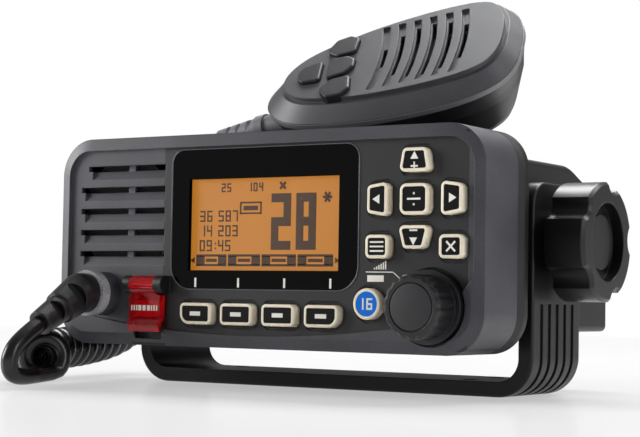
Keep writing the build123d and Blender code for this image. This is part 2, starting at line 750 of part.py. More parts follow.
def make_chassis():
    body = side_solid(profile(0, BODY_Y - 0.5), CHASSIS_X)
    long_edges = body.edges().filter_by(Axis.Y).group_by(Axis.Z)
    body = fillet(long_edges[0] + long_edges[-1], 2.0)
    body += slab(outline(), FLANGE_Y, BODY_Y)
    body -= side_solid(profile(CHASSIS_WALL, FLANGE_Y - 1), CAVITY_X)
    aerial, lead = connector_axes()
    keep = slab(Pos(*aerial) * Circle(THREAD_R + 4.5), FIN_Y - 1, CHASSIS_BACK)
    keep += slab(Pos(*lead) * Circle(LEAD_GLAND_R + 6.5), FIN_Y - 1, CHASSIS_BACK)
    gaps = None
    for n in range(FIN_COUNT):
        x = (n - (FIN_COUNT - 1) / 2) * FIN_PITCH
        gap = slab(block(x - FIN_GAP / 2, x + FIN_GAP / 2, -PANEL_H, PANEL_H), FIN_Y, CHASSIS_BACK + 1)
        gaps = gap if gaps is None else gaps + gap
    body -= gaps - keep
    for solid in both_sides(rod(WASHER_R - 2, CAVITY_X - STUD_REACH, CAVITY_X + 0.5)):
        body += solid
    for solid in both_sides(rod(STUD_R + RUN, CHASSIS_X - STUD_REACH - EASY, CHASSIS_X + 1)):
        body -= solid
    for x, y in standoffs():
        post = Pos(x, y, MID_Z - CHASSIS_LOW + CHASSIS_WALL + POST_H / 2 - 0.5) * Cylinder(3.0, POST_H + 1)
        hole = Pos(x, y, BOARD_Z - 2.5) * Cylinder(1.0, 5)
        body = body + post - hole
    for x, z in screw_places():
        body -= slab(Pos(x, z) * Circle(SCREW_R + RUN), FLANGE_Y - 1, BODY_Y + 1)
    body -= slab(Pos(*aerial) * Circle(THREAD_R - 3 + SEAT), FIN_Y - 2 * CHASSIS_WALL, CHASSIS_BACK + 1)
    body -= slab(Pos(*lead) * Circle(LEAD_GLAND_R + 2 + SEAT), FIN_Y - 2 * CHASSIS_WALL, CHASSIS_BACK + 1)
    body -= slab(Pos(0, CONNECTOR_Z - 16) * Circle(2.0), FIN_Y - 2.2, CHASSIS_BACK + 1)
    put("chassis", body)


def standoffs():
    """Places of the four posts under the main board."""
    x = CAVITY_X - 9.0
    return [(sx * x, y) for sx in (-1, 1) for y in (-14.0, FIN_Y - 15.0)]


def make_gasket():
    ring = outline() - RectangleRounded(2 * CAVITY_X, 2 * (CHASSIS_TOP - CHASSIS_WALL) - 2, 2.0)
    seal = slab(ring, GASKET_Y, FLANGE_Y)
    for x, z in screw_places():
        seal -= slab(Pos(x, z) * Circle(SCREW_R + EASY), GASKET_Y - 1, FLANGE_Y + 1)
    put("panel_gasket", seal)
    screws = []
    for x, z in screw_places():
        shank = slab(Pos(x, z) * Circle(SCREW_R), GASKET_Y - 9, BODY_Y)
        screws.append(shank + slab(Pos(x, z) * Circle(2.7), BODY_Y, BODY_Y + 1.9))
    put("panel_screws", screws, group=True)


def make_electronics():
    depth_low = BODY_Y + 3.0
    depth_high = FIN_Y - CHASSIS_WALL - 2.0
    middle = (depth_low + depth_high) / 2
    board = Pos(0, middle, BOARD_Z + BOARD_T / 2) * Box(2 * (CAVITY_X - 1.5), depth_high - depth_low, BOARD_T)
    screws = []
    for x, y in standoffs():
        board -= Pos(x, y, BOARD_Z) * Cylinder(1.0 + RUN, 10)
        shank = Pos(x, y, BOARD_Z - 2 + BOARD_T / 2) * Cylinder(1.0, 4 + BOARD_T)
        screws.append(shank + Pos(x, y, BOARD_Z + BOARD_T + 0.7) * Cylinder(2.0, 1.4))
    put("main_board", board)
    for x, z in board_screw_places():
        screw = slab(Pos(x, z) * Circle(1.0), WALL_Y, BOARD_BACK)
        screws.append(screw + slab(Pos(x, z) * Circle(1.8), BOARD_BACK, BOARD_BACK + 1.2))
    put("board_screws", screws, group=True)
    can_z = BOARD_Z + BOARD_T
    wall = 0.5
    can = Pos(-CAN_LEFT, middle, can_z + CAN_H / 2) * Box(CAN_W, CAN_D, CAN_H)
    inside = Box(CAN_W - 2 * wall, CAN_D - 2 * wall, CAN_H - 2 * wall)
    can -= Pos(-CAN_LEFT, middle, can_z + CAN_H / 2 - wall) * inside
    put("shield_cover", can)


def make_rear_fittings():
    aerial, lead = connector_axes()
    back = CHASSIS_BACK
    socket = slab(Pos(*aerial) * Circle(THREAD_R - 3), FIN_Y - CHASSIS_WALL, back + 0.5)
    socket += slab(Pos(*aerial) * RegularPolygon(THREAD_R + 2.6, 6), back, back + 2.5)
    socket += slab(Pos(*aerial) * Circle(THREAD_R), back + 2.5, back + 2.5 + THREAD_L)
    end = back + 2.5 + THREAD_L
    socket -= slab(Pos(*aerial) * Circle(THREAD_R - 2.2), end - 2.0, end + 1)
    socket -= slab(Pos(*aerial) * Circle(CONTACT_R), end - THREAD_L, end + 1)
    put("antenna_connector", socket)
    gland = slab(Pos(*lead) * Circle(LEAD_GLAND_R + 2), FIN_Y - CHASSIS_WALL - 1.5, back + 0.5)
    gland += slab(Pos(*lead) * Circle(LEAD_GLAND_R + 4.2), back, back + 3)
    gland += slab(Pos(*lead) * Circle(LEAD_GLAND_R + 2.4), back + 3, back + LEAD_GLAND_OUT)
    gland -= slab(Pos(*lead) * Circle(LEAD_GLAND_R), FIN_Y - 3 * CHASSIS_WALL, back + LEAD_GLAND_OUT + 1)
    put("power_gland", gland)
    at = Pos(0, CONNECTOR_Z - 16)
    screw = slab(at * Circle(2.0), FIN_Y - 2.0, back + 1)
    screw += slab(at * Circle(4.5), back, back + 1)
    screw += slab(at * Circle(3.6), back + 1, back + 3.4)
    screw -= slab(at * Rectangle(5.5, 0.9), back + 2.4, back + 4)
    put("ground_screw", screw)


# ---------------------------------------------------------------- cord gland, boot and cord
BOOT_START = Vector(GLAND_X, RIM_Y - GLAND_OUT - GLAND_RING_T - BOOT_STUB, MID_Z - GLAND_Z)
DROOP = Vector(0, -cos(radians(BOOT_DROOP)), -sin(radians(BOOT_DROOP)))
BOOT_END = BOOT_START + DROOP * BOOT_L


def along(start, way, *rings):
    """Round solid along a straight line: rings are (distance, radius) pairs."""
    solid = None
    for (d0, r0), (d1, r1) in zip(rings, rings[1:]):
        plane = Plane(origin=start + way * d0, z_dir=way)
        if abs(r0 - r1) < 1e-6:
            piece = extrude(plane * Circle(r0), amount=d1 - d0)
        else:
            far = Plane(origin=start + way * d1, z_dir=way)
            piece = loft([plane * Circle(r0), far * Circle(r1)])
        solid = piece if solid is None else solid + piece
    return solid


def make_gland():
    at = Pos(GLAND_X, -GLAND_Z)
    ring_y = RIM_Y - GLAND_OUT
    nut_y = WALL_Y
    ring = slab(at * Circle(GLAND_RING_R), ring_y - GLAND_RING_T, ring_y)
    ring += slab(at * Circle(GLAND_TUBE_R), ring_y - 1, nut_y + 3.5)
    ring += slab(at * Circle(GLAND_TUBE_R + 2), nut_y, nut_y + 2.5)
    ring -= slab(at * Circle(CORD_R + SEAT), ring_y - GLAND_RING_T - 1, nut_y + 5)
    put("cord_gland", ring)
    stub_y = ring_y - GLAND_RING_T
    boot = slab(at * Circle(BOOT_R), stub_y - BOOT_STUB, stub_y)
    ball = Pos(*BOOT_START) * Sphere(BOOT_R)
    ball &= slab(at * Rectangle(4 * BOOT_R, 4 * BOOT_R), stub_y - 4 * BOOT_R, stub_y)
    boot += ball
    neck = BOOT_BODY_L
    rings = (0.0, BOOT_R), (neck, BOOT_R - 1.0), (neck + 0.01, COLLAR_R), (BOOT_L, COLLAR_R - 0.6)
    boot += along(BOOT_START, DROOP, *rings)
    put("cord_strain_relief", boot)


def tube(points, r):
    """Tube of straight runs joined by arcs as large as the runs allow; prints its radii."""
    vectors = [Vector(*p) for p in points]
    radii = []
    for a, b, c in zip(vectors, vectors[1:], vectors[2:]):
        turn = radians((b - a).get_angle(c - b))
        shorter = min((b - a).length, (c - b).length)
        radii.append(0.45 * shorter / tan(turn / 2))
    print("arc radii", [round(x, 1) for x in radii])
    path = FilletPolyline(*vectors, radius=radii)
    plane = Plane(origin=vectors[0], z_dir=(vectors[1] - vectors[0]).normalized())
    solid = sweep(plane * Circle(r), path=path)
    print("tube volume over section times length", round(solid.volume / (pi * r * r * path.length), 4))
    print("length", round(path.length, 1))
    return solid


LEAD_POINTS = [
    tuple(BOOT_END),
    tuple(BOOT_END + DROOP * 8.0),
    (-60.0, -98.2, 11.0),
    (-60.8, -97.4, 5.0),
    (-61.6, -91.0, 3.3),
    (-62.2, -84.4, 3.9),
]
COIL_POINTS = [
    (-62.4, -79.4, 9.6),
    (-76.5, -70.5, 9.7),
    (-88.0, -57.0, 9.9),
    (-94.5, -38.5, 10.4),
    (-99.0, -19.5, 11.2),
    (-102.3, -0.5, 13.2),
    (-104.2, 17.0, 19.4),
    (-104.4, 31.0, 32.5),
    (-102.2, 42.4, 46.5),
    (-93.5, 54.0, 58.5),
    (-79.0, 58.5, 66.5),
    (-65.0, 54.2, 70.8),
    (-56.0, 42.4, 74.2),
    (-54.6, 31.9, 77.3),
]
MIC_LEAD_POINTS = [
    (-54.6, 31.9, 77.3),
    (-56.2, 22.6, 76.2),
    (-59.4, 13.8, 76.2),
    (-61.9, 4.8, 76.2),
    (-62.4, -4.3, 76.4),
    (-59.6, -12.8, 77.0),
    (-53.4, -19.4, 78.6),
]


def make_cord():
    lead = tube(LEAD_POINTS, CORD_R)
    coil = tube(COIL_POINTS, COIL_R)
    put("cord_lead", lead - coil)
    put("curly_cord", coil)
    ends = [tuple(MIC_BOOT_END + MIC_BOOT_WAY * 7.5), tuple(MIC_BOOT_END)]
    put("cord_mic_lead", tube(MIC_LEAD_POINTS + ends, CORD_R) - coil)


# ---------------------------------------------------------------- microphone
# In the microphone's own frame x runs from the cord end to the round top end, y across it
# away from the viewer, and z out of its face; w = z is 0 on the face.
MIC = (
    Pos(MIC_X, RIM_Y + MIC_BEHIND, MID_Z + TOP + MIC_ABOVE)
    * Rot(0, 0, MIC_YAW)
    * Rot(0, -MIC_PITCH, 0)
    * Rot(MIC_TILT, 0, 0)
    * Rot(0, 0, MIC_SPIN)
)
FACE_EGG = [
    (27.6, 0), (26.6, 9.5), (22.8, 16.6), (14, 19.8), (0, 20.3), (-17, 18.6), (-32, 14.6), (-42, 9.2),
    (-46.5, 0),
]
PART_EGG = [
    (31.8, 0), (30.6, 11.5), (26, 20), (16, 24.8), (1, 26), (-18, 24), (-35, 19.4), (-48.5, 12.2), (-54.5, 0)
]
MID_EGG = [
    (29.8, 0), (28.4, 10), (23.6, 17), (14.4, 21.2), (0, 22), (-18, 19.8), (-34, 15.8), (-47.5, 10), (-53.8, 0)
]
BACK_EGG = [
    (28.6, 0), (27.2, 9.2), (22.2, 15.2), (13.4, 18.9), (0, 19.6), (-18, 17.4), (-34, 13.2), (-48, 8.4),
    (-52.5, 0),
]
END_EGG = [
    (22, 0), (20.4, 7.4), (15.8, 12), (8, 14.2), (-2, 14.3), (-13, 12.4), (-22, 9.4), (-29, 5.4), (-32, 0)
]


def egg(points, inset=0.0):
    """Closed smooth outline through half an egg's points and their mirror images, drawn in by inset."""
    half = [Vector(x, y, 0) for x, y in points]
    full = half + [Vector(p.X, -p.Y, 0) for p in reversed(half[1:-1])]
    count = len(full)
    moved = []
    for n, p in enumerate(full):
        way = full[(n + 1) % count] - full[n - 1]
        inward = Vector(-way.Y, way.X, 0).normalized()
        moved.append(p + inward * inset)
    return make_face(Spline(*[(p.X, p.Y) for p in moved], periodic=True))


def level(sketch, z):
    """A sketch of the microphone's frame raised to height z."""
    return Pos(0, 0, z) * sketch


def stack(*layers):
    """Solid through outlines at their heights: layers are (outline, height) pairs."""
    return loft([level(shape, z) for shape, z in layers], ruled=True)


def mic_slot(index, width, half_length):
    """Bowed slot number index across the microphone's face."""
    x = (index - (MIC_SLOTS - 1) / 2) * MIC_SLOT_PITCH
    r = MIC_SLOT_BOW_R
    arc = Circle(r + width / 2) - Circle(r - width / 2)
    bar = (Pos(x - r + 1.2, 0) * arc) & (Pos(x, 0) * Rectangle(12, 2 * half_length))
    return Rot(0, 0, -2.9) * bar


def mic_key_outlines():
    """Each key of the microphone by its name."""
    upper = [(-32.6, 10.6), (-28.6, 6.6), (-22.4, 6.6), (-21.6, 13.8), (-24.6, 16.6), (-29.6, 15.8)]
    lower = [(x, -y - 0.4) for x, y in upper]
    up = [(-30.8, -5.4), (-24.6, -4.8), (-21.8, -2.0), (-21.8, 2.0), (-24.6, 4.8), (-30.8, 5.4)]
    down = [(-33.2, 5.4), (-39.4, 4.2), (-41.2, 1.8), (-41.2, -1.8), (-39.4, -4.2), (-33.2, -5.4)]
    return {
        "mic_key_power": rounded(upper, 1.5),
        "mic_key_channel": rounded(lower, 1.5),
        "mic_key_up": rounded(up, 1.2),
        "mic_key_down": rounded(down, 1.2),
    }


SEAM_LOW = -MIC_FRONT_H - MIC_SEAM_T
MIC_LIP_Z = -MIC_WALL - SEAT
MIC_BOARD_Z = MIC_LIP_Z - MIC_KEY_LIP_T - MIC_KEY_TRAVEL - SEAT
MIC_BOOT_START = (MIC * Pos(PART_EGG[-1][0] + 1.5, -MIC_BOOT_LOW, SEAM_LOW - MIC_BOOT_DEEP)).position
MIC_BOOT_WAY = Vector(-19.5, 0, -3.3).normalized()
MIC_BOOT_END = MIC_BOOT_START + MIC_BOOT_WAY * MIC_BOOT_L


def ptt_window(grow, deep, out):
    """Side window of the push-to-talk lever, from deep inside the skin to out beyond it."""
    curve = egg(BACK_EGG, -out) - egg(BACK_EGG, deep)
    area = block(PTT_LOW - grow, PTT_HIGH + grow, 6, 40)
    shape = curve & area
    return extrude(level(shape, PTT_DEEP - grow), amount=PTT_W + 2 * grow)


def make_mic():
    face = egg(FACE_EGG)
    part = egg(PART_EGG)
    keys = mic_key_outlines()
    shell = stack((part, -MIC_FRONT_H), (egg(FACE_EGG, -1.4), -1.6))
    shell += extrude(level(face, -2.0), amount=2.0)
    hollow = stack((egg(PART_EGG, MIC_WALL), -MIC_FRONT_H - 0.01), (egg(FACE_EGG, MIC_WALL), -MIC_WALL))
    shell -= hollow
    reach = [5.0, 11.0, 13.4, 14.2, 12.8, 9.4]
    for n in range(MIC_SLOTS):
        shell -= extrude(level(mic_slot(n, MIC_SLOT_W + 1.0, 17.4), -0.9), amount=2)
        shell -= extrude(level(mic_slot(n, MIC_SLOT_W, reach[n]), -MIC_WALL - 1), amount=6)
    for shape in keys.values():
        shell -= extrude(level(offset(shape, MIC_KEY_GAP), -MIC_WALL - 1), amount=6)
        pocket = offset(shape, MIC_KEY_LIP + MIC_KEY_GAP)
        shell -= extrude(level(pocket, MIC_BOARD_Z), amount=-MIC_WALL - MIC_BOARD_Z)
    boot_hole = along(MIC_BOOT_START, MIC_BOOT_WAY, (-9.0, MIC_BOOT_R), (9.0, MIC_BOOT_R))
    put("mic_front_shell", MIC * shell - boot_hole)
    for name, shape in keys.items():
        cap = extrude(level(shape, MIC_LIP_Z - 0.3), amount=MIC_KEY_RISE - MIC_LIP_Z + 0.3)
        cap = fillet(cap.edges().group_by(Axis.Z)[-1], 0.5)
        cap += extrude(level(offset(shape, MIC_KEY_LIP), MIC_LIP_Z - MIC_KEY_LIP_T), amount=MIC_KEY_LIP_T)
        put(name, MIC * cap)
    band = egg(PART_EGG, -MIC_SEAM_OUT) - egg(PART_EGG, MIC_WALL)
    seam = extrude(level(band, SEAM_LOW), amount=MIC_SEAM_T)
    put("mic_seam", MIC * seam - boot_hole)
    back = stack(
        (egg(PART_EGG), SEAM_LOW),
        (egg(MID_EGG), MIC_MID_Z),
        (egg(BACK_EGG), MIC_WAIST_Z),
        (egg(END_EGG, -1.6), 2.0 - MIC_BACK),
        (egg(END_EGG), -MIC_BACK),
    )
    inner = stack(
        (egg(PART_EGG, MIC_WALL), SEAM_LOW + 0.01),
        (egg(MID_EGG, MIC_WALL), MIC_MID_Z),
        (egg(BACK_EGG, MIC_WALL), MIC_WAIST_Z),
        (egg(END_EGG, MIC_WALL), -MIC_BACK + MIC_WALL),
    )
    back -= inner
    back -= ptt_window(0.3, 5.0, 6.0)
    back -= extrude(level(Circle(2.5), -MIC_BACK - 1), amount=4)
    screw_xy = [(15, 0), (-12, 9.5), (-12, -9.5)]
    for x, y in screw_xy:
        back -= extrude(level(Pos(x, y) * Circle(1.3), -MIC_BACK - 1), amount=4)
    put("mic_rear_shell", MIC * back - boot_hole)
    put("ptt_lever", MIC * ptt_window(0.0, 2.6, PTT_OUT))
    capsule = extrude(level(Pos(2, 0) * Circle(4.9), MIC_LIP_Z - 5.2), amount=5.2)
    put("mic_capsule", MIC * capsule)
    board = egg(FACE_EGG, 5.0) & block(-44, -12, -30, 30)
    board_solid = extrude(level(board, MIC_BOARD_Z - 1.2), amount=1.2)
    put("mic_board", MIC * board_solid)
    stud = extrude(level(Circle(2.5), -MIC_BACK - 3.5), amount=3.5 + 2.2)
    stud += extrude(level(Circle(5.2), -MIC_BACK - 5.5), amount=2.0)
    stud += extrude(level(Circle(3.6), -MIC_BACK + MIC_WALL), amount=1.0)
    put("mic_hanger_stud", MIC * stud)
    screws = []
    for x, y in screw_xy:
        screw = extrude(level(Pos(x, y) * Circle(1.25), -MIC_BACK - 0.5), amount=6.5)
        screws.append(MIC * (screw + extrude(level(Pos(x, y) * Circle(2.3), -MIC_BACK - 1.2), amount=1.2)))
    put("mic_screws", screws, group=True)
    flange = 4.6
    body = 8.0
    rings = (-3.0, MIC_BOOT_R), (flange, MIC_BOOT_R)
    boot = along(MIC_BOOT_START, MIC_BOOT_WAY, *rings)
    boot += along(MIC_BOOT_START, MIC_BOOT_WAY, (flange, MIC_BOOT_FLANGE_R), (body, MIC_BOOT_FLANGE_R))
    boot += along(MIC_BOOT_START, MIC_BOOT_WAY, (body, MIC_BOOT_R + 0.3), (MIC_BOOT_L, CORD_R + 0.7))
    put("mic_strain_relief", boot)


make_bracket()
make_knobs()
make_panel()
make_window_and_display()
make_keys()
make_mat_and_board()
make_volume()
make_distress()
make_speaker()
make_gasket()
make_chassis()
make_electronics()
make_rear_fittings()
make_gland()
make_mic()
make_cord()
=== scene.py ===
from math import cos, pi, radians, sin

import bpy
from mathutils import Matrix, Vector


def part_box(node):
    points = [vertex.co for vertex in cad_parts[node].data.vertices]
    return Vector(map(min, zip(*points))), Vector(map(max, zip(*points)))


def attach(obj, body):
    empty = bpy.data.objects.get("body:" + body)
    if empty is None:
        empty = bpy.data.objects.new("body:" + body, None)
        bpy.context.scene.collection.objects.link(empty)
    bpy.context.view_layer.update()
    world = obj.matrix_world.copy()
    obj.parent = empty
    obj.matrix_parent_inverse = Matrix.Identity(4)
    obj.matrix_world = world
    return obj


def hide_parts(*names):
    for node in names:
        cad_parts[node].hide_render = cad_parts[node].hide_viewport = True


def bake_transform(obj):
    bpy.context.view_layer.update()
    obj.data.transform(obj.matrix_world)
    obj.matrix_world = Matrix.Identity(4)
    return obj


# A fixed-mount marine radio: a die-cast case with a moulded front, held in a U-shaped
# bracket by two clamp knobs, its fist microphone laid on top and a curly cord beside it.
# Sizes of the radio are in millimetres, turned to metres by MM. Lamps and camera are in metres.
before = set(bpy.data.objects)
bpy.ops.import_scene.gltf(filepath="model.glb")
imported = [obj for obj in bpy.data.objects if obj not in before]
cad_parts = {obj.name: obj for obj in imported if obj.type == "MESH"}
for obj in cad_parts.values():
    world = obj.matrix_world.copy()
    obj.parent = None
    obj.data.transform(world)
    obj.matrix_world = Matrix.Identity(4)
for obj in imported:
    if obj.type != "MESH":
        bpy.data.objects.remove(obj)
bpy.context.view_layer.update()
bpy.ops.object.select_all(action="DESELECT")

# ---------------------------------------------------------------- bracket
# A U-shaped strap moulded in glass-filled nylon, its outside grooved along the bend. The
# spark-eroded mould leaves a fine even grain that scatters the light along its edges.
MM = 0.001
MIX_COLOUR = 2  # which output of a Mix node is its colour
PATCH = 18  # width of the soft patches in a moulding's tone
GRAIN_SHARE = 0.7  # how much the grain adds to those patches
TONE_DARK = 0.45  # sum of patch and grain at which the tone is darkest
TONE_LIGHT = 1.2  # and at which it is lightest


def linear(hex_colour):
    """An sRGB hex colour as linear RGBA."""
    channels = [int(hex_colour[i:i + 2], 16) / 255 for i in (1, 3, 5)]
    return [c / 12.92 if c <= 0.04045 else ((c + 0.055) / 1.055) ** 2.4 for c in channels] + [1.0]


def add(tree, kind, settings=None, inputs=None):
    """Add a node with its settings; an input is a value or another node's output."""
    node = tree.nodes.new(kind)
    for name, value in (settings or {}).items():
        setattr(node, name, value)
    for name, value in (inputs or {}).items():
        socket = node.inputs[name]
        if kind == "ShaderNodeMix":
            socket = next(i for i in node.inputs if i.name == name and i.enabled)
        if isinstance(value, bpy.types.NodeSocket):
            tree.links.new(value, socket)
        else:
            socket.default_value = value
    return node


def finish(name, **values):
    """A new material and its shader with these socket values."""
    material = bpy.data.materials.new(name)
    material.use_nodes = True
    shader = material.node_tree.nodes["Principled BSDF"]
    for key, value in values.items():
        shader.inputs[key.replace("_", " ")].default_value = value
    return material, shader


def moulded(name, dark, light, roughness, grain, relief, edge=0.25, shine=0.5):
    """Moulded plastic: a fine grain, a cloudy tone and rounded edges, sized in millimetres. The
    grain is drawn coarser than a real mould leaves it, so that it shows."""
    material, shader = finish(name, Roughness=roughness, Specular_IOR_Level=shine)
    tree = material.node_tree
    place = add(tree, "ShaderNodeTexCoord").outputs["Object"]
    patches = {"Vector": place, "Scale": 1 / (PATCH * MM), "Detail": 3.0}
    pits = {"Vector": place, "Scale": 1 / (grain * MM), "Detail": 2.0}
    cloud = add(tree, "ShaderNodeTexNoise", inputs=patches)
    grit = add(tree, "ShaderNodeTexNoise", inputs=pits)
    both = add(
        tree,
        "ShaderNodeMath",
        {"operation": "MULTIPLY_ADD"},
        {0: grit.outputs["Fac"], 1: GRAIN_SHARE, 2: cloud.outputs["Fac"]},
    )
    tone = add(
        tree,
        "ShaderNodeMapRange",
        inputs={"Value": both.outputs[0], "From Min": TONE_DARK, "From Max": TONE_LIGHT},
    )
    colour = add(
        tree,
        "ShaderNodeMix",
        {"data_type": "RGBA"},
        {"Factor": tone.outputs["Result"], "A": linear(dark), "B": linear(light)},
    )
    corner = add(tree, "ShaderNodeBevel", {"samples": 4}, {"Radius": edge * MM})
    bump = add(
        tree,
        "ShaderNodeBump",
        inputs={
            "Strength": 1.0,
            "Distance": relief * MM,
            "Height": grit.outputs["Fac"],
            "Normal": corner.outputs["Normal"],
        },
    )
    tree.links.new(colour.outputs[MIX_COLOUR], shader.inputs["Base Color"])
    tree.links.new(bump.outputs["Normal"], shader.inputs["Normal"])
    return material


def paint(material, *names):
    """Give CAD nodes a material."""
    for name in names:
        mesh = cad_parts[name].data
        mesh.materials.clear()
        mesh.materials.append(material)


bracket_nylon = moulded(
    "glass filled nylon", "#09090a", "#121214", roughness=0.4, grain=0.5, relief=0.015, edge=0.5, shine=0.35
)
paint(bracket_nylon, "mounting_bracket")

# ---------------------------------------------------------------- clamp knobs
# Five-lobed hand knobs moulded in satin nylon over steel studs. Tightened, they press the
# bracket's arms on rubber washers against the case and so hold its tilt.
SCRATCH_DEPTH = 0.006


def metal(name, colour, roughness, scratch):
    """Bare or plated metal whose fine turning or brushing marks break up its highlights."""
    material, shader = finish(name, Metallic=1.0, Roughness=roughness, Base_Color=linear(colour))
    tree = material.node_tree
    place = add(tree, "ShaderNodeTexCoord").outputs["Object"]
    lines = {"Vector": place, "Scale": 1 / (scratch * MM), "Detail": 4.0}
    marks = add(tree, "ShaderNodeTexNoise", inputs=lines)
    bump = add(
        tree,
        "ShaderNodeBump",
        inputs={"Strength": 1.0, "Distance": SCRATCH_DEPTH * MM, "Height": marks.outputs["Fac"]},
    )
    tree.links.new(bump.outputs["Normal"], shader.inputs["Normal"])
    return material


knob_nylon = moulded(
    "satin nylon knob", "#050506", "#0b0b0d", roughness=0.34, grain=0.4, relief=0.008, edge=0.5, shine=0.4
)
paint(knob_nylon, "clamp_knob_left", "clamp_knob_right")
stainless = metal("stainless steel", "#b4b4b8", roughness=0.32, scratch=0.6)
paint(stainless, "clamp_stud_left", "clamp_stud_right")
soft_rubber = moulded("moulded rubber", "#101011", "#18181a", roughness=0.7, grain=0.5, relief=0.01)
paint(soft_rubber, "tilt_washers")

# ---------------------------------------------------------------- case and rear fittings
# The case is die-cast aluminium with cooling fins, powder-coated matt black. At its back are
# the nickel-plated aerial socket, the nylon gland of the power lead and the earth screw.
case_paint = moulded(
    "powder coated aluminium",
    "#0d0d0f",
    "#151517",
    roughness=0.45,
    grain=0.7,
    relief=0.02,
    edge=0.4,
    shine=0.35,
)
paint(case_paint, "chassis")
nickel = metal("nickel plated brass", "#c9c4b8", roughness=0.22, scratch=0.9)
paint(nickel, "antenna_connector", "ground_screw")
gland_nylon = moulded("black nylon gland", "#0f0f10", "#18181a", roughness=0.45, grain=0.5, relief=0.008)
paint(gland_nylon, "power_gland")

# ---------------------------------------------------------------- boards inside
# Epoxy-glass boards under green solder mask, and the tinned steel can over the transmitter.
# They are hidden in the case and shown only where it is opened.
solder_mask = moulded("green solder mask", "#0f3a1e", "#164a28", roughness=0.3, grain=1.4, relief=0.01)
paint(solder_mask, "main_board", "front_board")
tin_plate = metal("tinned steel", "#c4c6c8", roughness=0.3, scratch=1.2)
paint(tin_plate, "shield_cover")
paint(stainless, "board_screws")

# ---------------------------------------------------------------- front panel and its seal
# The front is one moulding in dark grey ABS with an even fine grain. Painted shade darkens it
# inside its raised frame round the keys, in the distress key's bay and round the hinge ears.
# Screws draw it on a black rubber seal that closes it on the case.
PANEL_FACE_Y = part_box("display_window")[0].y
KEY_FIELD = ((-36, 73), (14.6, 77.6))
DISTRESS_BAY = ((-47.6, -34.2), (8.5, 31))
HINGE_EARS = ((-48.7, -33.0), (29.6, 35.6))
FIELD_FRONT_Y = PANEL_FACE_Y - 0.3 * MM  # between the field's floor and the frame's raised top
EARS_FRONT_Y = PANEL_FACE_Y - 8 * MM  # in front of the ears' knuckles


def inside(tree, apart, sides):
    """1 where the X and Z of a place lie between these sides, in millimetres."""
    found = None
    for axis, (low, high) in zip("XZ", sides):
        for operation, limit in (("GREATER_THAN", low), ("LESS_THAN", high)):
            compared = {0: apart.outputs[axis], 1: limit * MM}
            test = add(tree, "ShaderNodeMath", {"operation": operation}, compared)
            if found:
                both = {0: found.outputs[0], 1: test.outputs[0]}
                test = add(tree, "ShaderNodeMath", {"operation": "MULTIPLY"}, both)
            found = test
    return found


def painted_shade(material, sides, colour, front_y):
    """Painted shade: give a moulding a darker tone on the part of it behind front_y and between these sides.
    """
    tree = material.node_tree
    shader = tree.nodes["Principled BSDF"]
    place = add(tree, "ShaderNodeTexCoord").outputs["Object"]
    apart = add(tree, "ShaderNodeSeparateXYZ", inputs={"Vector": place})
    zone = inside(tree, apart, sides)
    compared = {0: apart.outputs["Y"], 1: front_y}
    deep = add(tree, "ShaderNodeMath", {"operation": "GREATER_THAN"}, compared)
    both = {0: zone.outputs[0], 1: deep.outputs[0]}
    where = add(tree, "ShaderNodeMath", {"operation": "MULTIPLY"}, both)
    before = shader.inputs["Base Color"].links[0].from_socket
    tone = add(
        tree,
        "ShaderNodeMix",
        {"data_type": "RGBA"},
        {"Factor": where.outputs[0], "A": before, "B": linear(colour)},
    )
    tree.links.new(tone.outputs[MIX_COLOUR], shader.inputs["Base Color"])


panel_abs = moulded(
    "grained ABS panel", "#2c2c31", "#45454c", roughness=0.44, grain=0.45, relief=0.026, edge=0.45
)
# Painted shade: the recessed key field inside the raised frame is drawn darker.
painted_shade(panel_abs, KEY_FIELD, "#101012", FIELD_FRONT_Y)
# Painted shadow: the distress key's bay is drawn near black.
painted_shade(panel_abs, DISTRESS_BAY, "#040405", FIELD_FRONT_Y)
# Painted shade: the panel round the hinge ears, under the cover's hinge, is drawn near black.
painted_shade(panel_abs, HINGE_EARS, "#060607", EARS_FRONT_Y)
paint(panel_abs, "front_panel")
paint(soft_rubber, "panel_gasket")
paint(stainless, "panel_screws")

# ---------------------------------------------------------------- loudspeaker
# A small sealed loudspeaker behind the slots: a pressed steel basket, a coated cone and a
# woven dust mesh that makes the slots look black. Its threads are drawn wider, to show.
THREAD_PITCH = 0.8
speaker_cloth, cloth_shader = finish("woven dust mesh", Roughness=0.9)
cloth_tree = speaker_cloth.node_tree
cloth_place = add(cloth_tree, "ShaderNodeTexCoord").outputs["Object"]
weave = add(
    cloth_tree,
    "ShaderNodeTexBrick",
    inputs={
        "Vector": cloth_place,
        "Scale": 1 / (THREAD_PITCH * MM),
        "Color1": linear("#0a0a0b"),
        "Color2": linear("#050506"),
    },
)
cloth_tree.links.new(weave.outputs["Color"], cloth_shader.inputs["Base Color"])
paint(speaker_cloth, "speaker_mesh")
basket_paint = moulded("pressed steel basket", "#2c2c2e", "#38383a", roughness=0.4, grain=1.0, relief=0.01)
paint(basket_paint, "speaker_frame")
cone_paper = moulded("coated paper cone", "#141414", "#1c1c1c", roughness=0.75, grain=0.8, relief=0.02)
paint(cone_paper, "speaker_cone")

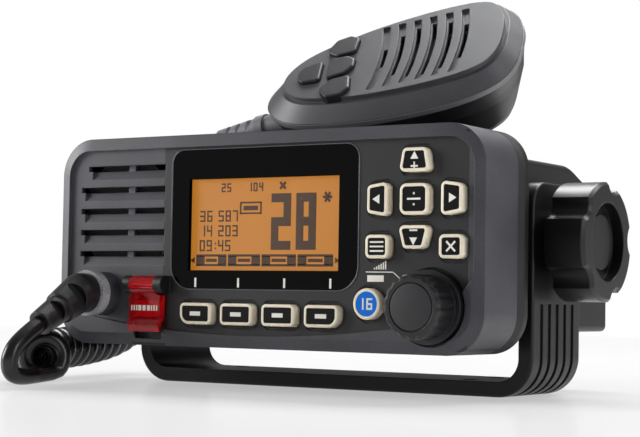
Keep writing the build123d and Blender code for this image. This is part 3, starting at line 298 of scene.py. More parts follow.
# ---------------------------------------------------------------- display
# A liquid crystal panel lit amber from behind by a white light box. The light is even, with
# only a faint wide cloud in it.
LIGHT_PATCH = 30
amber, amber_shader = finish(
    "amber lit crystal",
    Roughness=0.5,
    Base_Color=linear("#6b4310"),
    Emission_Strength=0.62,
)
amber_tree = amber.node_tree
amber_place = add(amber_tree, "ShaderNodeTexCoord").outputs["Object"]
amber_patches = {"Vector": amber_place, "Scale": 1 / (LIGHT_PATCH * MM)}
amber_cloud = add(amber_tree, "ShaderNodeTexNoise", inputs=amber_patches)
amber_tone = add(
    amber_tree,
    "ShaderNodeMix",
    {"data_type": "RGBA"},
    {"Factor": amber_cloud.outputs["Fac"], "A": linear("#c97e20"), "B": linear("#d0852a")},
)
amber_tree.links.new(amber_tone.outputs[MIX_COLOUR], amber_shader.inputs["Emission Color"])
paint(amber, "display_module")
light_box = moulded("white light box", "#d8d4c8", "#e6e2d6", roughness=0.5, grain=2.0, relief=0.005)
paint(light_box, "display_backlight")

# ---------------------------------------------------------------- keys
# Each key is a cream silicone-rubber button with a satin black cap let into its face, so
# that a cream rim shows all round it. The round key's cap is blue. Marks are white ink.
KEY_FACE_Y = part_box("key_enter")[0].y
KEY_RIM = 0.4 * MM
KEY_GROOVE = 0.15 * MM
GROOVE_SLOPE = 0.06 * MM
FACE_SPARE = 0.001 * MM  # how far a face may lie behind the key's foremost place
CAP_SLOT = 1  # the cap's place among a key's two materials
INK_T = 0.04 * MM
INK_Y = KEY_FACE_Y + KEY_GROOVE
INK_STEP = 0.01 * MM  # keeps marks that cross out of one plane
WELD = 0.002 * MM  # corners of marks nearer than this are one corner
EDGE_ANGLE = radians(35)  # faces that turn more than this meet at a hard edge

# Silicone rubber is a little translucent, which softens the shading of the rims. The caps are
# satin and take little shine, so that they stay dark, and the ink is matt.
cream = moulded(
    "cream silicone rubber", "#e6dac2", "#f4ead6", roughness=0.5, grain=0.6, relief=0.004, edge=0.2
)
cream_shader = cream.node_tree.nodes["Principled BSDF"]
cream_shader.inputs["Subsurface Weight"].default_value = 0.08
cream_shader.inputs["Subsurface Radius"].default_value = (2 * MM, 1.5 * MM, 1 * MM)
paint(cream, "keypad_mat")
cap_black = moulded(
    "satin black cap", "#030304", "#060608", roughness=0.45, grain=0.5, relief=0.003, edge=0.25, shine=0.15
)
cap_blue = moulded(
    "satin blue cap", "#0068cc", "#0074dc", roughness=0.5, grain=0.5, relief=0.003, edge=0.25, shine=0.15
)
legend_white = moulded("white legend ink", "#e2dfd6", "#f2efe6", roughness=0.6, grain=0.5, relief=0.002)


def activate(piece):
    """Make a piece the only selected one."""
    bpy.ops.object.select_all(action="DESELECT")
    piece.select_set(True)
    bpy.context.view_layer.objects.active = piece


def settle(piece, body, slot, *materials):
    """Bring a finished piece to the origin, give it its materials and let it ride on its body."""
    activate(piece)
    bpy.ops.object.transform_apply(location=True, rotation=True, scale=True)
    for material in materials:
        piece.data.materials.append(material)
    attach(piece, body)


def copy_of(node, name):
    """A piece that starts as a CAD node's own shape, its loose faces merged."""
    piece = bpy.data.objects.new(name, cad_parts[node].data.copy())
    bpy.context.collection.objects.link(piece)
    piece.data.materials.clear()
    activate(piece)
    bpy.ops.object.mode_set(mode="EDIT")
    bpy.ops.mesh.select_all(action="SELECT")
    bpy.ops.mesh.remove_doubles(threshold=0.001 * MM)
    bpy.ops.mesh.dissolve_limited(angle_limit=radians(0.3))
    bpy.ops.mesh.customdata_custom_splitnormals_clear()
    bpy.ops.mesh.select_all(action="DESELECT")
    bpy.ops.object.mode_set(mode="OBJECT")
    return piece


def pick(piece, test):
    """Select the faces that pass a test, and go into edit mode."""
    activate(piece)
    bpy.context.tool_settings.mesh_select_mode = (False, False, True)
    for face in piece.data.polygons:
        face.select = test(face)
    bpy.ops.object.mode_set(mode="EDIT")


def joined(name, marks):
    """One piece from flat marks that face forwards, given a thin body of ink."""
    bpy.ops.object.select_all(action="DESELECT")
    for mark in marks:
        mark.select_set(True)
    bpy.context.view_layer.objects.active = marks[0]
    if len(marks) > 1:
        bpy.ops.object.join()
    piece = bpy.context.object
    piece.name = name
    bpy.ops.object.transform_apply(location=True, rotation=True, scale=True)
    bpy.ops.object.mode_set(mode="EDIT")
    bpy.ops.mesh.select_all(action="SELECT")
    bpy.ops.mesh.remove_doubles(threshold=WELD)
    bpy.ops.object.mode_set(mode="OBJECT")
    body = piece.modifiers.new("ink", "SOLIDIFY")
    body.thickness = INK_T
    body.offset = 1.0
    bpy.ops.object.modifier_apply(modifier=body.name)
    return piece


def stroke(x, z, width, height, y, turn=0.0):
    """A flat bar on a face that looks forwards; places in millimetres."""
    bpy.ops.mesh.primitive_plane_add(size=MM, location=(x * MM, y, z * MM), rotation=(pi / 2, turn, 0))
    bpy.context.object.scale = (width, height, 1)
    return bpy.context.object


def wedge(x, z, radius, y, turn):
    """A flat triangle whose point is turned from straight up."""
    bpy.ops.mesh.primitive_circle_add(
        vertices=3,
        radius=radius * MM,
        fill_type="NGON",
        location=(x * MM, y, z * MM),
        rotation=(pi / 2, turn, 0),
    )
    return bpy.context.object


# The bars that each numeral lights, named from the top one clockwise with g in the middle, and
# the bars that end at each corner of a numeral, by its side and level.
SEGMENTS = {
    "0": "abcdef",
    "1": "bc",
    "2": "abged",
    "3": "abgcd",
    "4": "fgbc",
    "5": "afgcd",
    "6": "afgedc",
    "7": "abc",
    "8": "abcdefg",
    "9": "abcdfg",
}
CORNERS = {(0, 2): "af", (1, 2): "ab", (0, 1): "fge", (1, 1): "bgc", (0, 0): "ed", (1, 0): "cd"}


def numeral(figure, x, z, width, height, line, y):
    """A plain seven-bar numeral whose lower left corner is at x and z."""
    half = (height - line) / 2
    between = half - line
    middle = x + width / 2
    left = x + line / 2
    right = x + width - line / 2
    places = {
        "a": (middle, z + 2 * half + line / 2, width - 2 * line, line),
        "g": (middle, z + half + line / 2, width - 2 * line, line),
        "d": (middle, z + line / 2, width - 2 * line, line),
        "f": (left, z + line + half + between / 2, line, between),
        "b": (right, z + line + half + between / 2, line, between),
        "e": (left, z + line + between / 2, line, between),
        "c": (right, z + line + between / 2, line, between),
    }
    lit = SEGMENTS[figure]
    marks = [stroke(*places[name], y) for name in lit]
    for (side, level), near in CORNERS.items():
        if any(name in lit for name in near):
            marks.append(stroke((left, right)[side], z + half * level + line / 2, line, line, y))
    return marks


def number(figures, x, z, width, height, line, gap, y):
    """A row of numerals from its lower left corner."""
    marks = []
    for place, figure in enumerate(figures):
        marks += numeral(figure, x + place * (width + gap), z, width, height, line, y)
    return marks


def bars(x, z, width, count, pitch, line, y):
    """A stack of level bars round a middle."""
    top = z + pitch * (count - 1) / 2
    return [stroke(x, top - n * pitch, width, line, y) for n in range(count)]


def crossed(x, z, length, line, y, turns):
    """Bars turned about one middle, each a hair in front of the last."""
    return [stroke(x, z, length, line, y - n * INK_STEP, turn) for n, turn in enumerate(turns)]


def key_marks(node):
    """The plain marks on one key's cap, placed from the middle of the key."""
    low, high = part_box(node)
    x = (low.x + high.x) / 2 / MM
    z = (low.z + high.z) / 2 / MM
    if node.startswith("key_soft"):
        return [stroke(x, z, width=4.0, height=1.3, y=INK_Y)]
    if node == "key_up":
        plus = crossed(x, z - 1.9, length=2.4, line=0.5, y=INK_Y, turns=(0, pi / 2))
        return [wedge(x, z + 0.9, radius=1.5, y=INK_Y, turn=0), *plus]
    if node == "key_down":
        minus = stroke(x, z + 1.9, width=2.6, height=0.5, y=INK_Y)
        return [wedge(x, z - 0.9, radius=1.5, y=INK_Y, turn=pi), minus]
    if node == "key_left":
        return [wedge(x, z, radius=1.6, y=INK_Y, turn=-pi / 2)]
    if node == "key_right":
        return [wedge(x, z, radius=1.6, y=INK_Y, turn=pi / 2)]
    if node == "key_enter":
        dots = bars(x, z, width=0.6, count=2, pitch=3.2, line=0.6, y=INK_Y)
        return [stroke(x, z, width=4.4, height=0.6, y=INK_Y), *dots]
    if node == "key_menu":
        return bars(x, z, width=4.6, count=3, pitch=1.3, line=0.5, y=INK_Y)
    if node == "key_clear":
        return crossed(x, z, length=4.0, line=0.6, y=INK_Y, turns=(pi / 4, -pi / 4))
    return number("16", x - 2.9, z - 1.7, width=2.0, height=3.4, line=0.55, gap=0.9, y=INK_Y)


KEYS = (
    "key_soft_1",
    "key_soft_2",
    "key_soft_3",
    "key_soft_4",
    "key_channel",
    "key_enter",
    "key_up",
    "key_down",
    "key_left",
    "key_right",
    "key_menu",
    "key_clear",
)
for node in KEYS:
    is_blue = node == "key_channel"
    key = copy_of(node, node + "_button")
    key.data.materials.append(cream)
    key.data.materials.append(cap_blue if is_blue else cap_black)
    pick(key, lambda face: face.normal.y < -0.9999 and face.center.y < KEY_FACE_Y + FACE_SPARE)
    bpy.ops.mesh.inset(thickness=KEY_RIM)
    bpy.ops.mesh.inset(thickness=GROOVE_SLOPE, depth=-KEY_GROOVE)
    key.active_material_index = CAP_SLOT
    bpy.ops.object.material_slot_assign()
    bpy.ops.object.mode_set(mode="OBJECT")
    bpy.ops.object.shade_smooth_by_angle(angle=EDGE_ANGLE)
    settle(key, node + "_cap", "key_blue" if is_blue else "key_cap")
    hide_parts(node)
    marks = joined(node + "_mark", key_marks(node))
    settle(marks, node + "_cap", "key_cap", legend_white)

# ---------------------------------------------------------------- window pane
# A hard-coated acrylic pane, bonded flush in the panel and printed gloss black from behind all
# round its clear part. A fine moulded lip round it catches the light and is drawn a lighter grey
# than the panel as a painted highlight. Four white strokes are printed on the pane above the soft keys.
GLASS = ((-26.0, 29.6), (37.25, 65.75))
PANE_EDGE_R = 0.24 * MM
PANE_SPARE = 0.01 * MM
TICKS_X = (-23.0, -6.6, 10.5, 27.0)
TICK_Z = 33.45
TICK_WIDTH = 0.75
TICK_HEIGHT = 2.9

# The polished pane mirrors faintly and shows the black print as deep gloss.
window_print, window_shader = finish(
    "printed clear window",
    Roughness=0.05,
    IOR=1.49,
    Base_Color=linear("#050506"),
    Specular_IOR_Level=0.2,
)
window_tree = window_print.node_tree
window_place = add(window_tree, "ShaderNodeTexCoord").outputs["Object"]
window_apart = add(window_tree, "ShaderNodeSeparateXYZ", inputs={"Vector": window_place})
clear = inside(window_tree, window_apart, GLASS)
see_through = add(window_tree, "ShaderNodeBsdfTransparent", inputs={"Color": linear("#fdfdfd")})
window_mix = add(
    window_tree,
    "ShaderNodeMixShader",
    inputs={"Fac": clear.outputs[0], 1: window_shader.outputs[0], 2: see_through.outputs[0]},
)
window_out = window_tree.nodes["Material Output"]
window_tree.links.new(window_mix.outputs[0], window_out.inputs["Surface"])
paint(window_print, "display_window")

edge = copy_of("display_window", "display_pane_edge")
pick(edge, lambda face: face.normal.y > -0.999 or face.center.y > PANEL_FACE_Y + PANE_SPARE)
bpy.ops.mesh.delete(type="FACE")
bpy.ops.mesh.select_all(action="SELECT")
bpy.ops.mesh.delete(type="ONLY_FACE")
bpy.ops.object.mode_set(mode="OBJECT")
bpy.ops.object.convert(target="CURVE")
edge.data.bevel_depth = PANE_EDGE_R
edge.data.bevel_resolution = 3
bpy.ops.object.convert(target="MESH")
bpy.ops.object.shade_smooth()
# The lip is drawn lighter than the panel: a painted highlight along the window's edge.
lip_highlight_abs = moulded("polished moulded lip", "#4a4a4f", "#58585e", roughness=0.16, grain=0.6, relief=0.001)
settle(edge, "radio", "window_plastic", lip_highlight_abs)
tick_marks = [stroke(x, TICK_Z, TICK_WIDTH, TICK_HEIGHT, PANEL_FACE_Y) for x in TICKS_X]
ticks = joined("pane_ticks", tick_marks)
settle(ticks, "radio", "window_plastic", legend_white)

# ---------------------------------------------------------------- figures on the display
# The crystal's dark cells: a large channel number, a few small numbers, a status block, a
# star-like mark and a row of four labels between two arrows. All are plain numbers and marks.
CELL_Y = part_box("display_module")[0].y - 0.03 * MM
# Width, height, bar and gap of the three sizes of numeral.
LARGE = (7.2, 17.2, 2.7, 1.9)
SMALL = (2.0, 3.5, 0.5, 0.7)
TINY = (1.5, 2.7, 0.45, 0.6)
TINY_Z = 61.6
SMALL_LEFT = -22.7
SMALL_RIGHT = -15.6
SMALL_ROWS = ((52.4, "36", "587"), (47.8, "14", "203"), (43.2, "09", "45"))
STATUS_X = -3.4
STATUS_Z = 56.5
STATUS_HALF = 3.8
LABELS = ((-23.9, -12.3), (-11.7, 0.4), (1.0, 13.6), (14.2, 26.9))
LABEL_Z = 40.4
LABEL_HALF = 1.5
LABEL_END = 3.2
LABEL_CLEAR = 7.4
ARROW_R = 1.1

cell_brown = moulded("dark crystal cells", "#3a220c", "#4a2d12", roughness=0.5, grain=0.4, relief=0.001)
cells = number("28", 4.3, 43.6, *LARGE, CELL_Y)
cells += number("25", -14.6, TINY_Z, *TINY, CELL_Y)
cells += number("104", -4.6, TINY_Z, *TINY, CELL_Y)
for z, first, second in SMALL_ROWS:
    cells += number(first, SMALL_LEFT, z, *SMALL, CELL_Y)
    cells += number(second, SMALL_RIGHT, z, *SMALL, CELL_Y)
cells += [stroke(-16.6, z, 0.5, 0.5, CELL_Y) for z in (45.6, 44.1)]
cells += [stroke(STATUS_X, z, 2 * STATUS_HALF, 0.5, CELL_Y) for z in (58.2, 54.9)]
cells += [stroke(STATUS_X, STATUS_Z, 5.4, 1.4, CELL_Y)]
cells += [stroke(STATUS_X + side * STATUS_HALF, STATUS_Z, 0.6, 3.8, CELL_Y) for side in (-1, 1)]
cells += crossed(24.6, 59.4, length=3.4, line=0.8, y=CELL_Y, turns=(0, pi / 3, -pi / 3))
cells += crossed(8.4, 63.2, length=2.9, line=0.8, y=CELL_Y, turns=(pi / 4, -pi / 4))
for left, right in LABELS:
    middle = (left + right) / 2
    ends = (left + LABEL_END / 2, right - LABEL_END / 2)
    cells += [stroke(middle, LABEL_Z + side * LABEL_HALF, right - left, 0.7, CELL_Y) for side in (1, -1)]
    cells += [stroke(x, LABEL_Z, LABEL_END, 2.6, CELL_Y) for x in ends]
    cells += [stroke(middle, LABEL_Z, right - left - LABEL_CLEAR, 1.0, CELL_Y)]
cells += [wedge(-25.1, LABEL_Z, ARROW_R, CELL_Y, -pi / 2), wedge(28.1, LABEL_Z, ARROW_R, CELL_Y, pi / 2)]
figures = joined("display_figures", cells)
settle(figures, "radio", "display_glass", cell_brown)

# ---------------------------------------------------------------- marks by the volume knob
# White ink on the panel: a ruled line that leads to the knob, a row of bars that grow as the
# sound does, a small block and an arc of short strokes that says the knob turns.
LOUD_BARS = 6
LOUD_X = 42.2
LOUD_FOOT = 37.75
LOUD_PITCH = 0.75
LOUD_FIRST = 0.5
LOUD_STEP = 0.4
LOUD_WIDTH = 0.45
RULE_T = 0.3
ARC_X = 52.6
ARC_Z = 34.6
ARC_R = 1.5
ARC_TURNS = (0.9, 1.4, 1.9, 2.4, 2.9, 3.4)
ARC_STROKE = 0.75

panel_marks = []
for n in range(LOUD_BARS):
    height = LOUD_FIRST + LOUD_STEP * n
    x = LOUD_X + LOUD_PITCH * n
    panel_marks.append(stroke(x, LOUD_FOOT + height / 2, LOUD_WIDTH, height, PANEL_FACE_Y))
panel_marks.append(stroke(43.9, 37.0, 9.2, RULE_T, PANEL_FACE_Y))
panel_marks.append(stroke(50.0, 35.8, 3.6, RULE_T, PANEL_FACE_Y, turn=0.68))
panel_marks.append(stroke(42.6, 35.1, 5.6, 1.9, PANEL_FACE_Y))
for turn in ARC_TURNS:
    x = ARC_X + ARC_R * cos(turn)
    z = ARC_Z + ARC_R * sin(turn)
    panel_marks.append(stroke(x, z, RULE_T, ARC_STROKE, PANEL_FACE_Y, -turn))
knob_marks = joined("volume_marks", panel_marks)
settle(knob_marks, "radio", "panel_plastic", legend_white)

# ---------------------------------------------------------------- volume control
# A fluted knob that is turned for loudness and pushed to select, moulded in black ABS with a
# flat satin disc in its face, drawn lighter than the knob as painted light on the face. It sits
# on the spindle of a small encoder in a tinned case.
DISC_R = 6.7
DISC_T = 1.0
DISC_PROUD = 0.05
DISC_ROUNDING = 0.25

dial_abs = moulded("black ABS dial", "#121214", "#1a1a1d", roughness=0.33, grain=0.5, relief=0.006, edge=0.35)
paint(dial_abs, "volume_knob")
paint(stainless, "volume_spindle")
paint(tin_plate, "volume_encoder")
# Painted light: the flat satin disc is drawn lighter than the knob, so that its face reads lit.
disc_painted_light_abs = moulded(
    "fine grained black disc",
    "#1e1e21",
    "#28282b",
    roughness=0.55,
    grain=0.45,
    relief=0.008,
    edge=0.2,
    shine=0.4,
)
dial_low, dial_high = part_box("volume_knob")
dial_middle = (dial_low + dial_high) / 2
bpy.ops.mesh.primitive_cylinder_add(
    vertices=96,
    radius=DISC_R * MM,
    depth=DISC_T * MM,
    location=(dial_middle.x, dial_low.y + (DISC_T / 2 - DISC_PROUD) * MM, dial_middle.z),
    rotation=(pi / 2, 0, 0),
)
disc = bpy.context.object
disc.name = "volume_disc"
bpy.ops.object.transform_apply(location=True, rotation=True, scale=True)
rim = disc.modifiers.new("rounded rim", "BEVEL")
rim.width = DISC_ROUNDING * MM
rim.segments = 3
rim.limit_method = "ANGLE"
bpy.ops.object.modifier_apply(modifier=rim.name)
bpy.ops.object.shade_smooth_by_angle(angle=EDGE_ANGLE)
settle(disc, "volume_dial", "knob_plastic", disc_painted_light_abs)

# ---------------------------------------------------------------- distress key and cover
# The red key is kept from a chance press by a sprung cover in clear red acrylic, which turns
# on a steel pin between two ears of the panel. Three long bars between short ones mark it.
COVER_FACE_Y = -57.8 * MM
MARK_Z = 25.2
MARK_HEIGHT = 1.7
SHORT_WIDTH = 0.55
SHORT_START = 3.0
LONG_WIDTH = 1.25
LONG_PITCH = 1.75

# Tinted acrylic darkens what is behind it and shines along its polished edges.
clear_red = finish(
    "clear red acrylic",
    Roughness=0.08,
    IOR=1.49,
    Base_Color=linear("#ff1c2c"),
    Transmission_Weight=0.82,
)[0]
paint(clear_red, "distress_cover")
red_abs = moulded("red ABS key", "#e81822", "#f4222c", roughness=0.35, grain=0.6, relief=0.004)
paint(red_abs, "distress_key")
paint(stainless, "distress_hinge_pin")
cover_low, cover_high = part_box("distress_cover")
cover_middle = (cover_low.x + cover_high.x) / 2 / MM
short_bars = [(cover_middle + side * (SHORT_START + n), SHORT_WIDTH) for side in (-1, 1) for n in range(3)]
long_bars = [(cover_middle + LONG_PITCH * n, LONG_WIDTH) for n in (-1, 0, 1)]
cover_marks = [stroke(x, MARK_Z, width, MARK_HEIGHT, COVER_FACE_Y) for x, width in short_bars + long_bars]
call_sign = joined("distress_cover_mark", cover_marks)
settle(call_sign, "distress_flap", "red_clear", legend_white)

# ---------------------------------------------------------------- cord gland and boot
# A grey knurled ring clamps the cord in the panel, and a slotted rubber boot keeps it from
# kinking where it turns down.
BOOT_START = Vector((-59.5, -67.5, 29.6))
BOOT_WAY = Vector((0, -0.883, -0.469))
BOOT_SIDE = Vector((0.88, -0.22, 0.42))
BOOT_WINDOWS = ((5.0, 5.9, 1.9, 4.3), (14.2, 4.3, 1.7, 3.3))
BOOT_WINDOW_DEPTH = 2.6
CUTTER_SPARE = 4.0  # how far the cutter stands out of the boot
BOOT_EDGE_ANGLE = radians(40)


def slotted(piece, start, way, side, windows, depth):
    """Cut rounded windows across a boot on two sides: each has its distance from the start, the
    boot's radius there, half its width along the boot and half its length round it."""
    out = (side - way * side.dot(way)).normalized()
    for reach, radius, half_width, half_length in windows:
        for outward in (out, -out):
            middle = start + way * reach + outward * (radius + (CUTTER_SPARE - depth) / 2)
            bpy.ops.mesh.primitive_cylinder_add(vertices=32, radius=MM, depth=(depth + CUTTER_SPARE) * MM)
            cutter = bpy.context.object
            across = outward.cross(way)
            turned = Matrix((way * half_width, across * half_length, outward)).transposed().to_4x4()
            cutter.matrix_world = Matrix.Translation(middle * MM) @ turned
            activate(piece)
            cut = piece.modifiers.new("window", "BOOLEAN")
            cut.operation = "DIFFERENCE"
            cut.solver = "EXACT"
            cut.object = cutter
            bpy.ops.object.modifier_apply(modifier=cut.name)
            bpy.data.objects.remove(cutter)
    activate(piece)
    bpy.ops.object.shade_smooth_by_angle(angle=BOOT_EDGE_ANGLE)


# The ring's granular surface glitters in dark and pale specks. The boot's rubber is smooth and
# has a soft highlight.
ring_grey = moulded("granular grey ring", "#1c1c1e", "#b4b4b8", roughness=0.34, grain=0.7, relief=0.12)
paint(ring_grey, "cord_gland")
boot_rubber = moulded("boot rubber", "#0f0f11", "#1a1a1d", roughness=0.36, grain=0.5, relief=0.008, edge=0.5)
boot = copy_of("cord_strain_relief", "cord_boot")
slotted(boot, BOOT_START, BOOT_WAY, BOOT_SIDE, BOOT_WINDOWS, BOOT_WINDOW_DEPTH)
settle(boot, "radio", "boot_rubber", boot_rubber)
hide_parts("cord_strain_relief")

# ---------------------------------------------------------------- microphone
# Two shells in grained ABS, joined at a smooth grey seam, with rubber keys in the face, a
# push-to-talk lever in the side and a steel hanger stud at the back. Behind the face's slots
# are the cloth-covered capsule and its board.
MIC_BOOT_START = Vector((-13.85, -22.73, 85.59))
MIC_BOOT_WAY = Vector((-0.986, 0, -0.1669))
MIC_BOOT_SIDE = Vector((0, -0.62, 0.78))
MIC_BOOT_WINDOWS = ((10.6, 4.2, 1.15, 3.2), (15.0, 3.9, 0.95, 2.8), (19.2, 3.6, 0.95, 2.5))
MIC_WINDOW_DEPTH = 1.8

mic_abs = moulded(
    "grained ABS shell", "#35353a", "#4c4c51", roughness=0.46, grain=0.45, relief=0.024, edge=0.35
)
paint(mic_abs, "mic_front_shell")
rear_abs = moulded(
    "black ABS shell", "#121214", "#1c1c1f", roughness=0.42, grain=0.45, relief=0.018, edge=0.35
)
paint(rear_abs, "mic_rear_shell")
seam_abs = moulded("smooth ABS seam", "#6a6a6e", "#7a7a7e", roughness=0.36, grain=0.6, relief=0.004)
paint(seam_abs, "mic_seam")
mic_key_rubber = moulded(
    "grey key rubber", "#19191c", "#222226", roughness=0.42, grain=0.5, relief=0.01, edge=0.4, shine=0.4
)
paint(mic_key_rubber, "mic_key_power", "mic_key_channel", "mic_key_up", "mic_key_down", "ptt_lever")
paint(stainless, "mic_hanger_stud", "mic_screws")
paint(speaker_cloth, "mic_capsule")
paint(solder_mask, "mic_board")
grey_rubber = moulded(
    "grey boot rubber", "#6a6a6e", "#828287", roughness=0.5, grain=0.5, relief=0.008, edge=0.4
)
mic_boot = copy_of("mic_strain_relief", "mic_boot")
slotted(mic_boot, MIC_BOOT_START, MIC_BOOT_WAY, MIC_BOOT_SIDE, MIC_BOOT_WINDOWS, MIC_WINDOW_DEPTH)
settle(mic_boot, "microphone", "boot_rubber", grey_rubber)
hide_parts("mic_strain_relief")

# ---------------------------------------------------------------- cord
# A curly cord in glossy black polyurethane: a straight lead turns down from the boot into
# the coil's wide first turn, and behind the case a second lead runs up to the microphone.
CORD_R = 2.6
COIL_TURN_R = 4.7
FIRST_TURN_R = 6.3
COIL_PITCH = 5.7
POINTS_PER_TURN = 20
FIRST_TURN_POINTS = 24  # over these the wide first turn narrows to the coil's own
LAST_TURN_POINTS = 26  # over these the last turn runs out into the second lead
LEAD_TAKES = 2  # points of the first turn whose place the front lead takes
LEAD_FINENESS = 12
MIDDLE_FINENESS = 24
COIL_FINENESS = 2
LEAD_POINTS = [
    (-59.5, -85.6, 20.0),
    (-59.5, -92.7, 16.2),
    (-60.0, -98.2, 11.0),
    (-60.8, -97.4, 5.0),
    (-61.6, -91.0, 3.3),
    (-62.2, -84.4, 3.9),
]
COIL_POINTS = [
    (-62.4, -79.4, 9.6),
    (-76.5, -70.5, 9.7),
    (-88.0, -57.0, 9.9),
    (-94.5, -38.5, 10.4),
    (-99.0, -19.5, 11.2),
    (-102.3, -0.5, 13.2),
    (-104.2, 17.0, 19.4),
    (-104.4, 31.0, 32.5),
    (-102.2, 42.4, 46.5),
    (-93.5, 54.0, 58.5),
    (-79.0, 58.5, 66.5),
    (-65.0, 54.2, 70.8),
    (-56.0, 42.4, 74.2),
    (-54.6, 31.9, 77.3),
]
MIC_LEAD_POINTS = [
    (-54.6, 31.9, 77.3),
    (-56.2, 22.6, 76.2),
    (-59.4, 13.8, 76.2),
    (-61.9, 4.8, 76.2),
    (-62.4, -4.3, 76.4),
    (-59.6, -12.8, 77.0),
    (-53.4, -19.4, 78.6),
    (-44.9, -22.7, 80.3),
    (-37.5, -22.7, 81.6),
]
SKIN_PATCH = 3
SKIN_RELIEF = 0.05

# Extruded polyurethane is smooth and glossy, and its slight waviness breaks up the highlights.
polyurethane, cord_shader = finish(
    "glossy black polyurethane", Roughness=0.27, Base_Color=linear("#070708"), IOR=1.45
)
cord_tree = polyurethane.node_tree
cord_place = add(cord_tree, "ShaderNodeTexCoord").outputs["Object"]
cord_patches = {"Vector": cord_place, "Scale": 1 / (SKIN_PATCH * MM)}
cord_marks = add(cord_tree, "ShaderNodeTexNoise", inputs=cord_patches)
cord_bump = add(
    cord_tree,
    "ShaderNodeBump",
    inputs={"Strength": 0.6, "Distance": SKIN_RELIEF * MM, "Height": cord_marks.outputs["Fac"]},
)
cord_tree.links.new(cord_bump.outputs["Normal"], cord_shader.inputs["Normal"])


def spline_curve(name, points, fineness):
    """A smooth curve with these points, in millimetres, as its control points."""
    curve = bpy.data.curves.new(name, "CURVE")
    curve.dimensions = "3D"
    spline = curve.splines.new("NURBS")
    spline.points.add(len(points) - 1)
    for point, place in zip(spline.points, points):
        point.co = (*(Vector(place) * MM), 1.0)
    spline.order_u = 3
    spline.use_endpoint_u = True
    spline.resolution_u = fineness
    piece = bpy.data.objects.new(name, curve)
    bpy.context.collection.objects.link(piece)
    return piece


def line_of(name, points, fineness):
    """Points read from the smooth curve, in metres."""
    guide = spline_curve(name, points, fineness)
    mesh = bpy.data.meshes.new_from_object(guide)
    line = [v.co.copy() for v in mesh.vertices]
    bpy.data.objects.remove(guide)
    bpy.data.meshes.remove(mesh)
    return line


def cord_piece(name, points, fineness):
    """A round cord along the smooth curve of these control points, as a mesh."""
    piece = spline_curve(name, points, fineness)
    piece.data.bevel_depth = CORD_R * MM
    piece.data.bevel_resolution = 5
    piece.data.use_fill_caps = True
    activate(piece)
    bpy.ops.object.convert(target="MESH")
    bpy.ops.object.shade_smooth()
    piece.data.materials.append(polyurethane)
    return piece


def coil_points():
    """The coil's turns round its smooth middle line: the first is wider, and the last runs out."""
    middle = line_of("coil_middle", COIL_POINTS, MIDDLE_FINENESS)
    reach = [0.0]
    for a, b in zip(middle, middle[1:]):
        reach.append(reach[-1] + (b - a).length)
    last = round(reach[-1] / (COIL_PITCH * MM)) * POINTS_PER_TURN
    across = Vector((0, 0, -1))
    points = []
    index = 0
    for n in range(last + 1):
        at = reach[-1] * n / last
        while index < len(middle) - 2 and reach[index + 1] < at:
            index += 1
        share = (at - reach[index]) / (reach[index + 1] - reach[index])
        centre = middle[index].lerp(middle[index + 1], share) / MM
        way = (middle[index + 1] - middle[index]).normalized()
        across = (across - way * across.dot(way)).normalized()
        beside = way.cross(across)
        angle = -2 * pi * n / POINTS_PER_TURN
        widen = max(0.0, 1 - n / FIRST_TURN_POINTS)
        narrow = min(1.0, (last - n) / LAST_TURN_POINTS)
        radius = (COIL_TURN_R + (FIRST_TURN_R - COIL_TURN_R) * widen) * narrow
        points.append(centre + across * radius * cos(angle) + beside * radius * sin(angle))
    return points


# The front lead, the coil and the second lead are built as round cords and baked where they lie.
# Places are in metres.
front_lead = cord_piece("cord_front_lead", LEAD_POINTS, LEAD_FINENESS)
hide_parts("cord_lead")
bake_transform(front_lead)
line_of("front_line", LEAD_POINTS, LEAD_FINENESS)

turn_points = [Vector(LEAD_POINTS[-1]), *coil_points()[LEAD_TAKES:]]
coil = cord_piece("curly_cord_turns", turn_points, COIL_FINENESS)
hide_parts("curly_cord")
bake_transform(coil)
line_of("coil_line", turn_points, COIL_FINENESS)

mic_lead = cord_piece("cord_microphone_lead", MIC_LEAD_POINTS, LEAD_FINENESS)
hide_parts("cord_mic_lead")
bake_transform(mic_lead)
line_of("mic_line", MIC_LEAD_POINTS, LEAD_FINENESS)

# ---------------------------------------------------------------- floor, lights and camera
# A polished white table that fades into a white room, so that only the radio's soft shadow
# and a faint reflection show on it. Three soft lamps light the radio at a plain level.
TABLE_SIZE = 40
TABLE_FADE_START = 0.25
TABLE_FADE_END = 1.1
TABLE_GLOW = 0.45
ROOM_LIGHT = 0.3

table_white, table_shader = finish("polished white table", Roughness=0.16, Base_Color=linear("#f2f2f2"))
table_tree = table_white.node_tree
table_place = add(table_tree, "ShaderNodeTexCoord").outputs["Object"]
table_reach = add(table_tree, "ShaderNodeVectorMath", {"operation": "LENGTH"}, {0: table_place})
table_fade = add(
    table_tree,
    "ShaderNodeMapRange",
    inputs={
        "Value": table_reach.outputs["Value"],
        "From Min": TABLE_FADE_START,
        "From Max": TABLE_FADE_END,
        "To Min": TABLE_GLOW,
        "To Max": 1.0,
    },
)
table_rays = add(table_tree, "ShaderNodeLightPath")
seen_directly = add(
    table_tree,
    "ShaderNodeMath",
    {"operation": "MAXIMUM"},
    {0: table_rays.outputs["Is Camera Ray"], 1: table_rays.outputs["Is Glossy Ray"]},
)
seen_at_all = add(
    table_tree,
    "ShaderNodeMath",
    {"operation": "MAXIMUM"},
    {0: seen_directly.outputs[0], 1: table_rays.outputs["Is Transmission Ray"]},
)
table_share = add(
    table_tree,
    "ShaderNodeMath",
    {"operation": "MULTIPLY"},
    {0: seen_at_all.outputs[0], 1: table_fade.outputs["Result"]},
)
table_glow = add(table_tree, "ShaderNodeEmission", inputs={"Color": linear("#ffffff"), "Strength": 1.0})
table_mix = add(
    table_tree,
    "ShaderNodeMixShader",
    inputs={"Fac": table_share.outputs[0], 1: table_shader.outputs[0], 2: table_glow.outputs[0]},
)
table_out = table_tree.nodes["Material Output"]
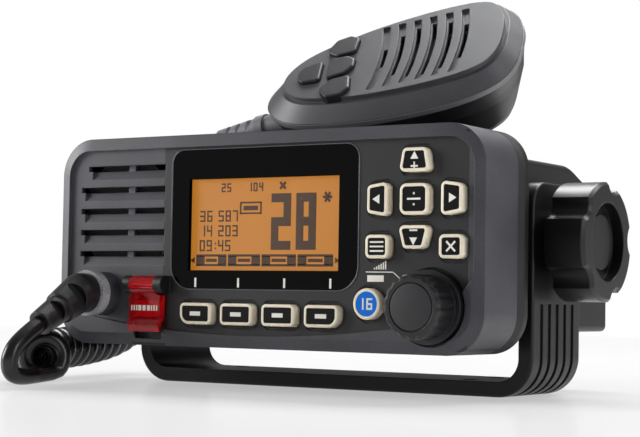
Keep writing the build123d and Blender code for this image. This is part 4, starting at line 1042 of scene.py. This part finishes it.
table_tree.links.new(table_mix.outputs[0], table_out.inputs["Surface"])
bpy.ops.mesh.primitive_plane_add(size=TABLE_SIZE, location=(0, 0, 0))
table = bpy.context.object
table.name = "table_top"
table.data.materials.append(table_white)

world = bpy.data.worlds.new("white room")
bpy.context.scene.world = world
world.use_nodes = True
world_tree = world.node_tree
room = world_tree.nodes["Background"]
room.inputs["Color"].default_value = linear("#ffffff")
room.inputs["Strength"].default_value = ROOM_LIGHT
backdrop = add(world_tree, "ShaderNodeBackground", inputs={"Color": linear("#ffffff"), "Strength": 1.0})
seen = add(world_tree, "ShaderNodeLightPath")
choose = add(
    world_tree,
    "ShaderNodeMixShader",
    inputs={"Fac": seen.outputs["Is Camera Ray"], 1: room.outputs[0], 2: backdrop.outputs[0]},
)
world_out = world_tree.nodes["World Output"]
world_tree.links.new(choose.outputs[0], world_out.inputs["Surface"])


def soft_box(name, place, target, width, height, power):
    """A rectangular lamp at a place, turned towards a target; power in watts."""
    bpy.ops.object.light_add(type="AREA", location=place)
    lamp = bpy.context.object
    lamp.name = name
    lamp.data.shape = "RECTANGLE"
    lamp.data.size = width
    lamp.data.size_y = height
    lamp.data.energy = power
    lamp.rotation_mode = "QUATERNION"
    lamp.rotation_quaternion = (Vector(target) - Vector(place)).to_track_quat("-Z", "Y")


soft_box("key_light", (-1.1, -0.5, 0.4), (0, 0, 0.05), width=0.5, height=0.6, power=12)
soft_box("side_light", (1.2, -0.2, 0.45), (0, 0, 0.05), width=0.3, height=0.8, power=4)
soft_box("top_light", (0.0, 0.55, 1.1), (0, 0, 0.08), width=1.2, height=0.5, power=26)

# The camera stands low in front of the radio's right corner.
CAMERA_AT = Vector((0.2965, -0.4783, 0.0284))
CAMERA_AZIMUTH = radians(32.87)
CAMERA_LIFT = radians(2.78)
CAMERA_ROLL = radians(0.97)
LENS = 95.13
level_ahead = Vector((-sin(CAMERA_AZIMUTH), cos(CAMERA_AZIMUTH), 0))
ahead = level_ahead * cos(CAMERA_LIFT) + Vector((0, 0, sin(CAMERA_LIFT)))
level_right = Vector((cos(CAMERA_AZIMUTH), sin(CAMERA_AZIMUTH), 0))
level_up = level_right.cross(ahead)
right = level_right * cos(CAMERA_ROLL) + level_up * sin(CAMERA_ROLL)
up = level_up * cos(CAMERA_ROLL) - level_right * sin(CAMERA_ROLL)
camera_data = bpy.data.cameras.new("camera")
camera_data.lens = LENS
camera_data.sensor_width = 36.0
camera_data.clip_start = 0.01
camera_data.clip_end = 100.0
camera = bpy.data.objects.new("camera", camera_data)
bpy.context.collection.objects.link(camera)
turned = Matrix((right, up, -ahead)).transposed().to_4x4()
camera.matrix_world = Matrix.Translation(CAMERA_AT) @ turned
bpy.context.scene.camera = camera
bpy.context.scene.view_settings.view_transform = "Standard"

bpy.context.view_layer.update()
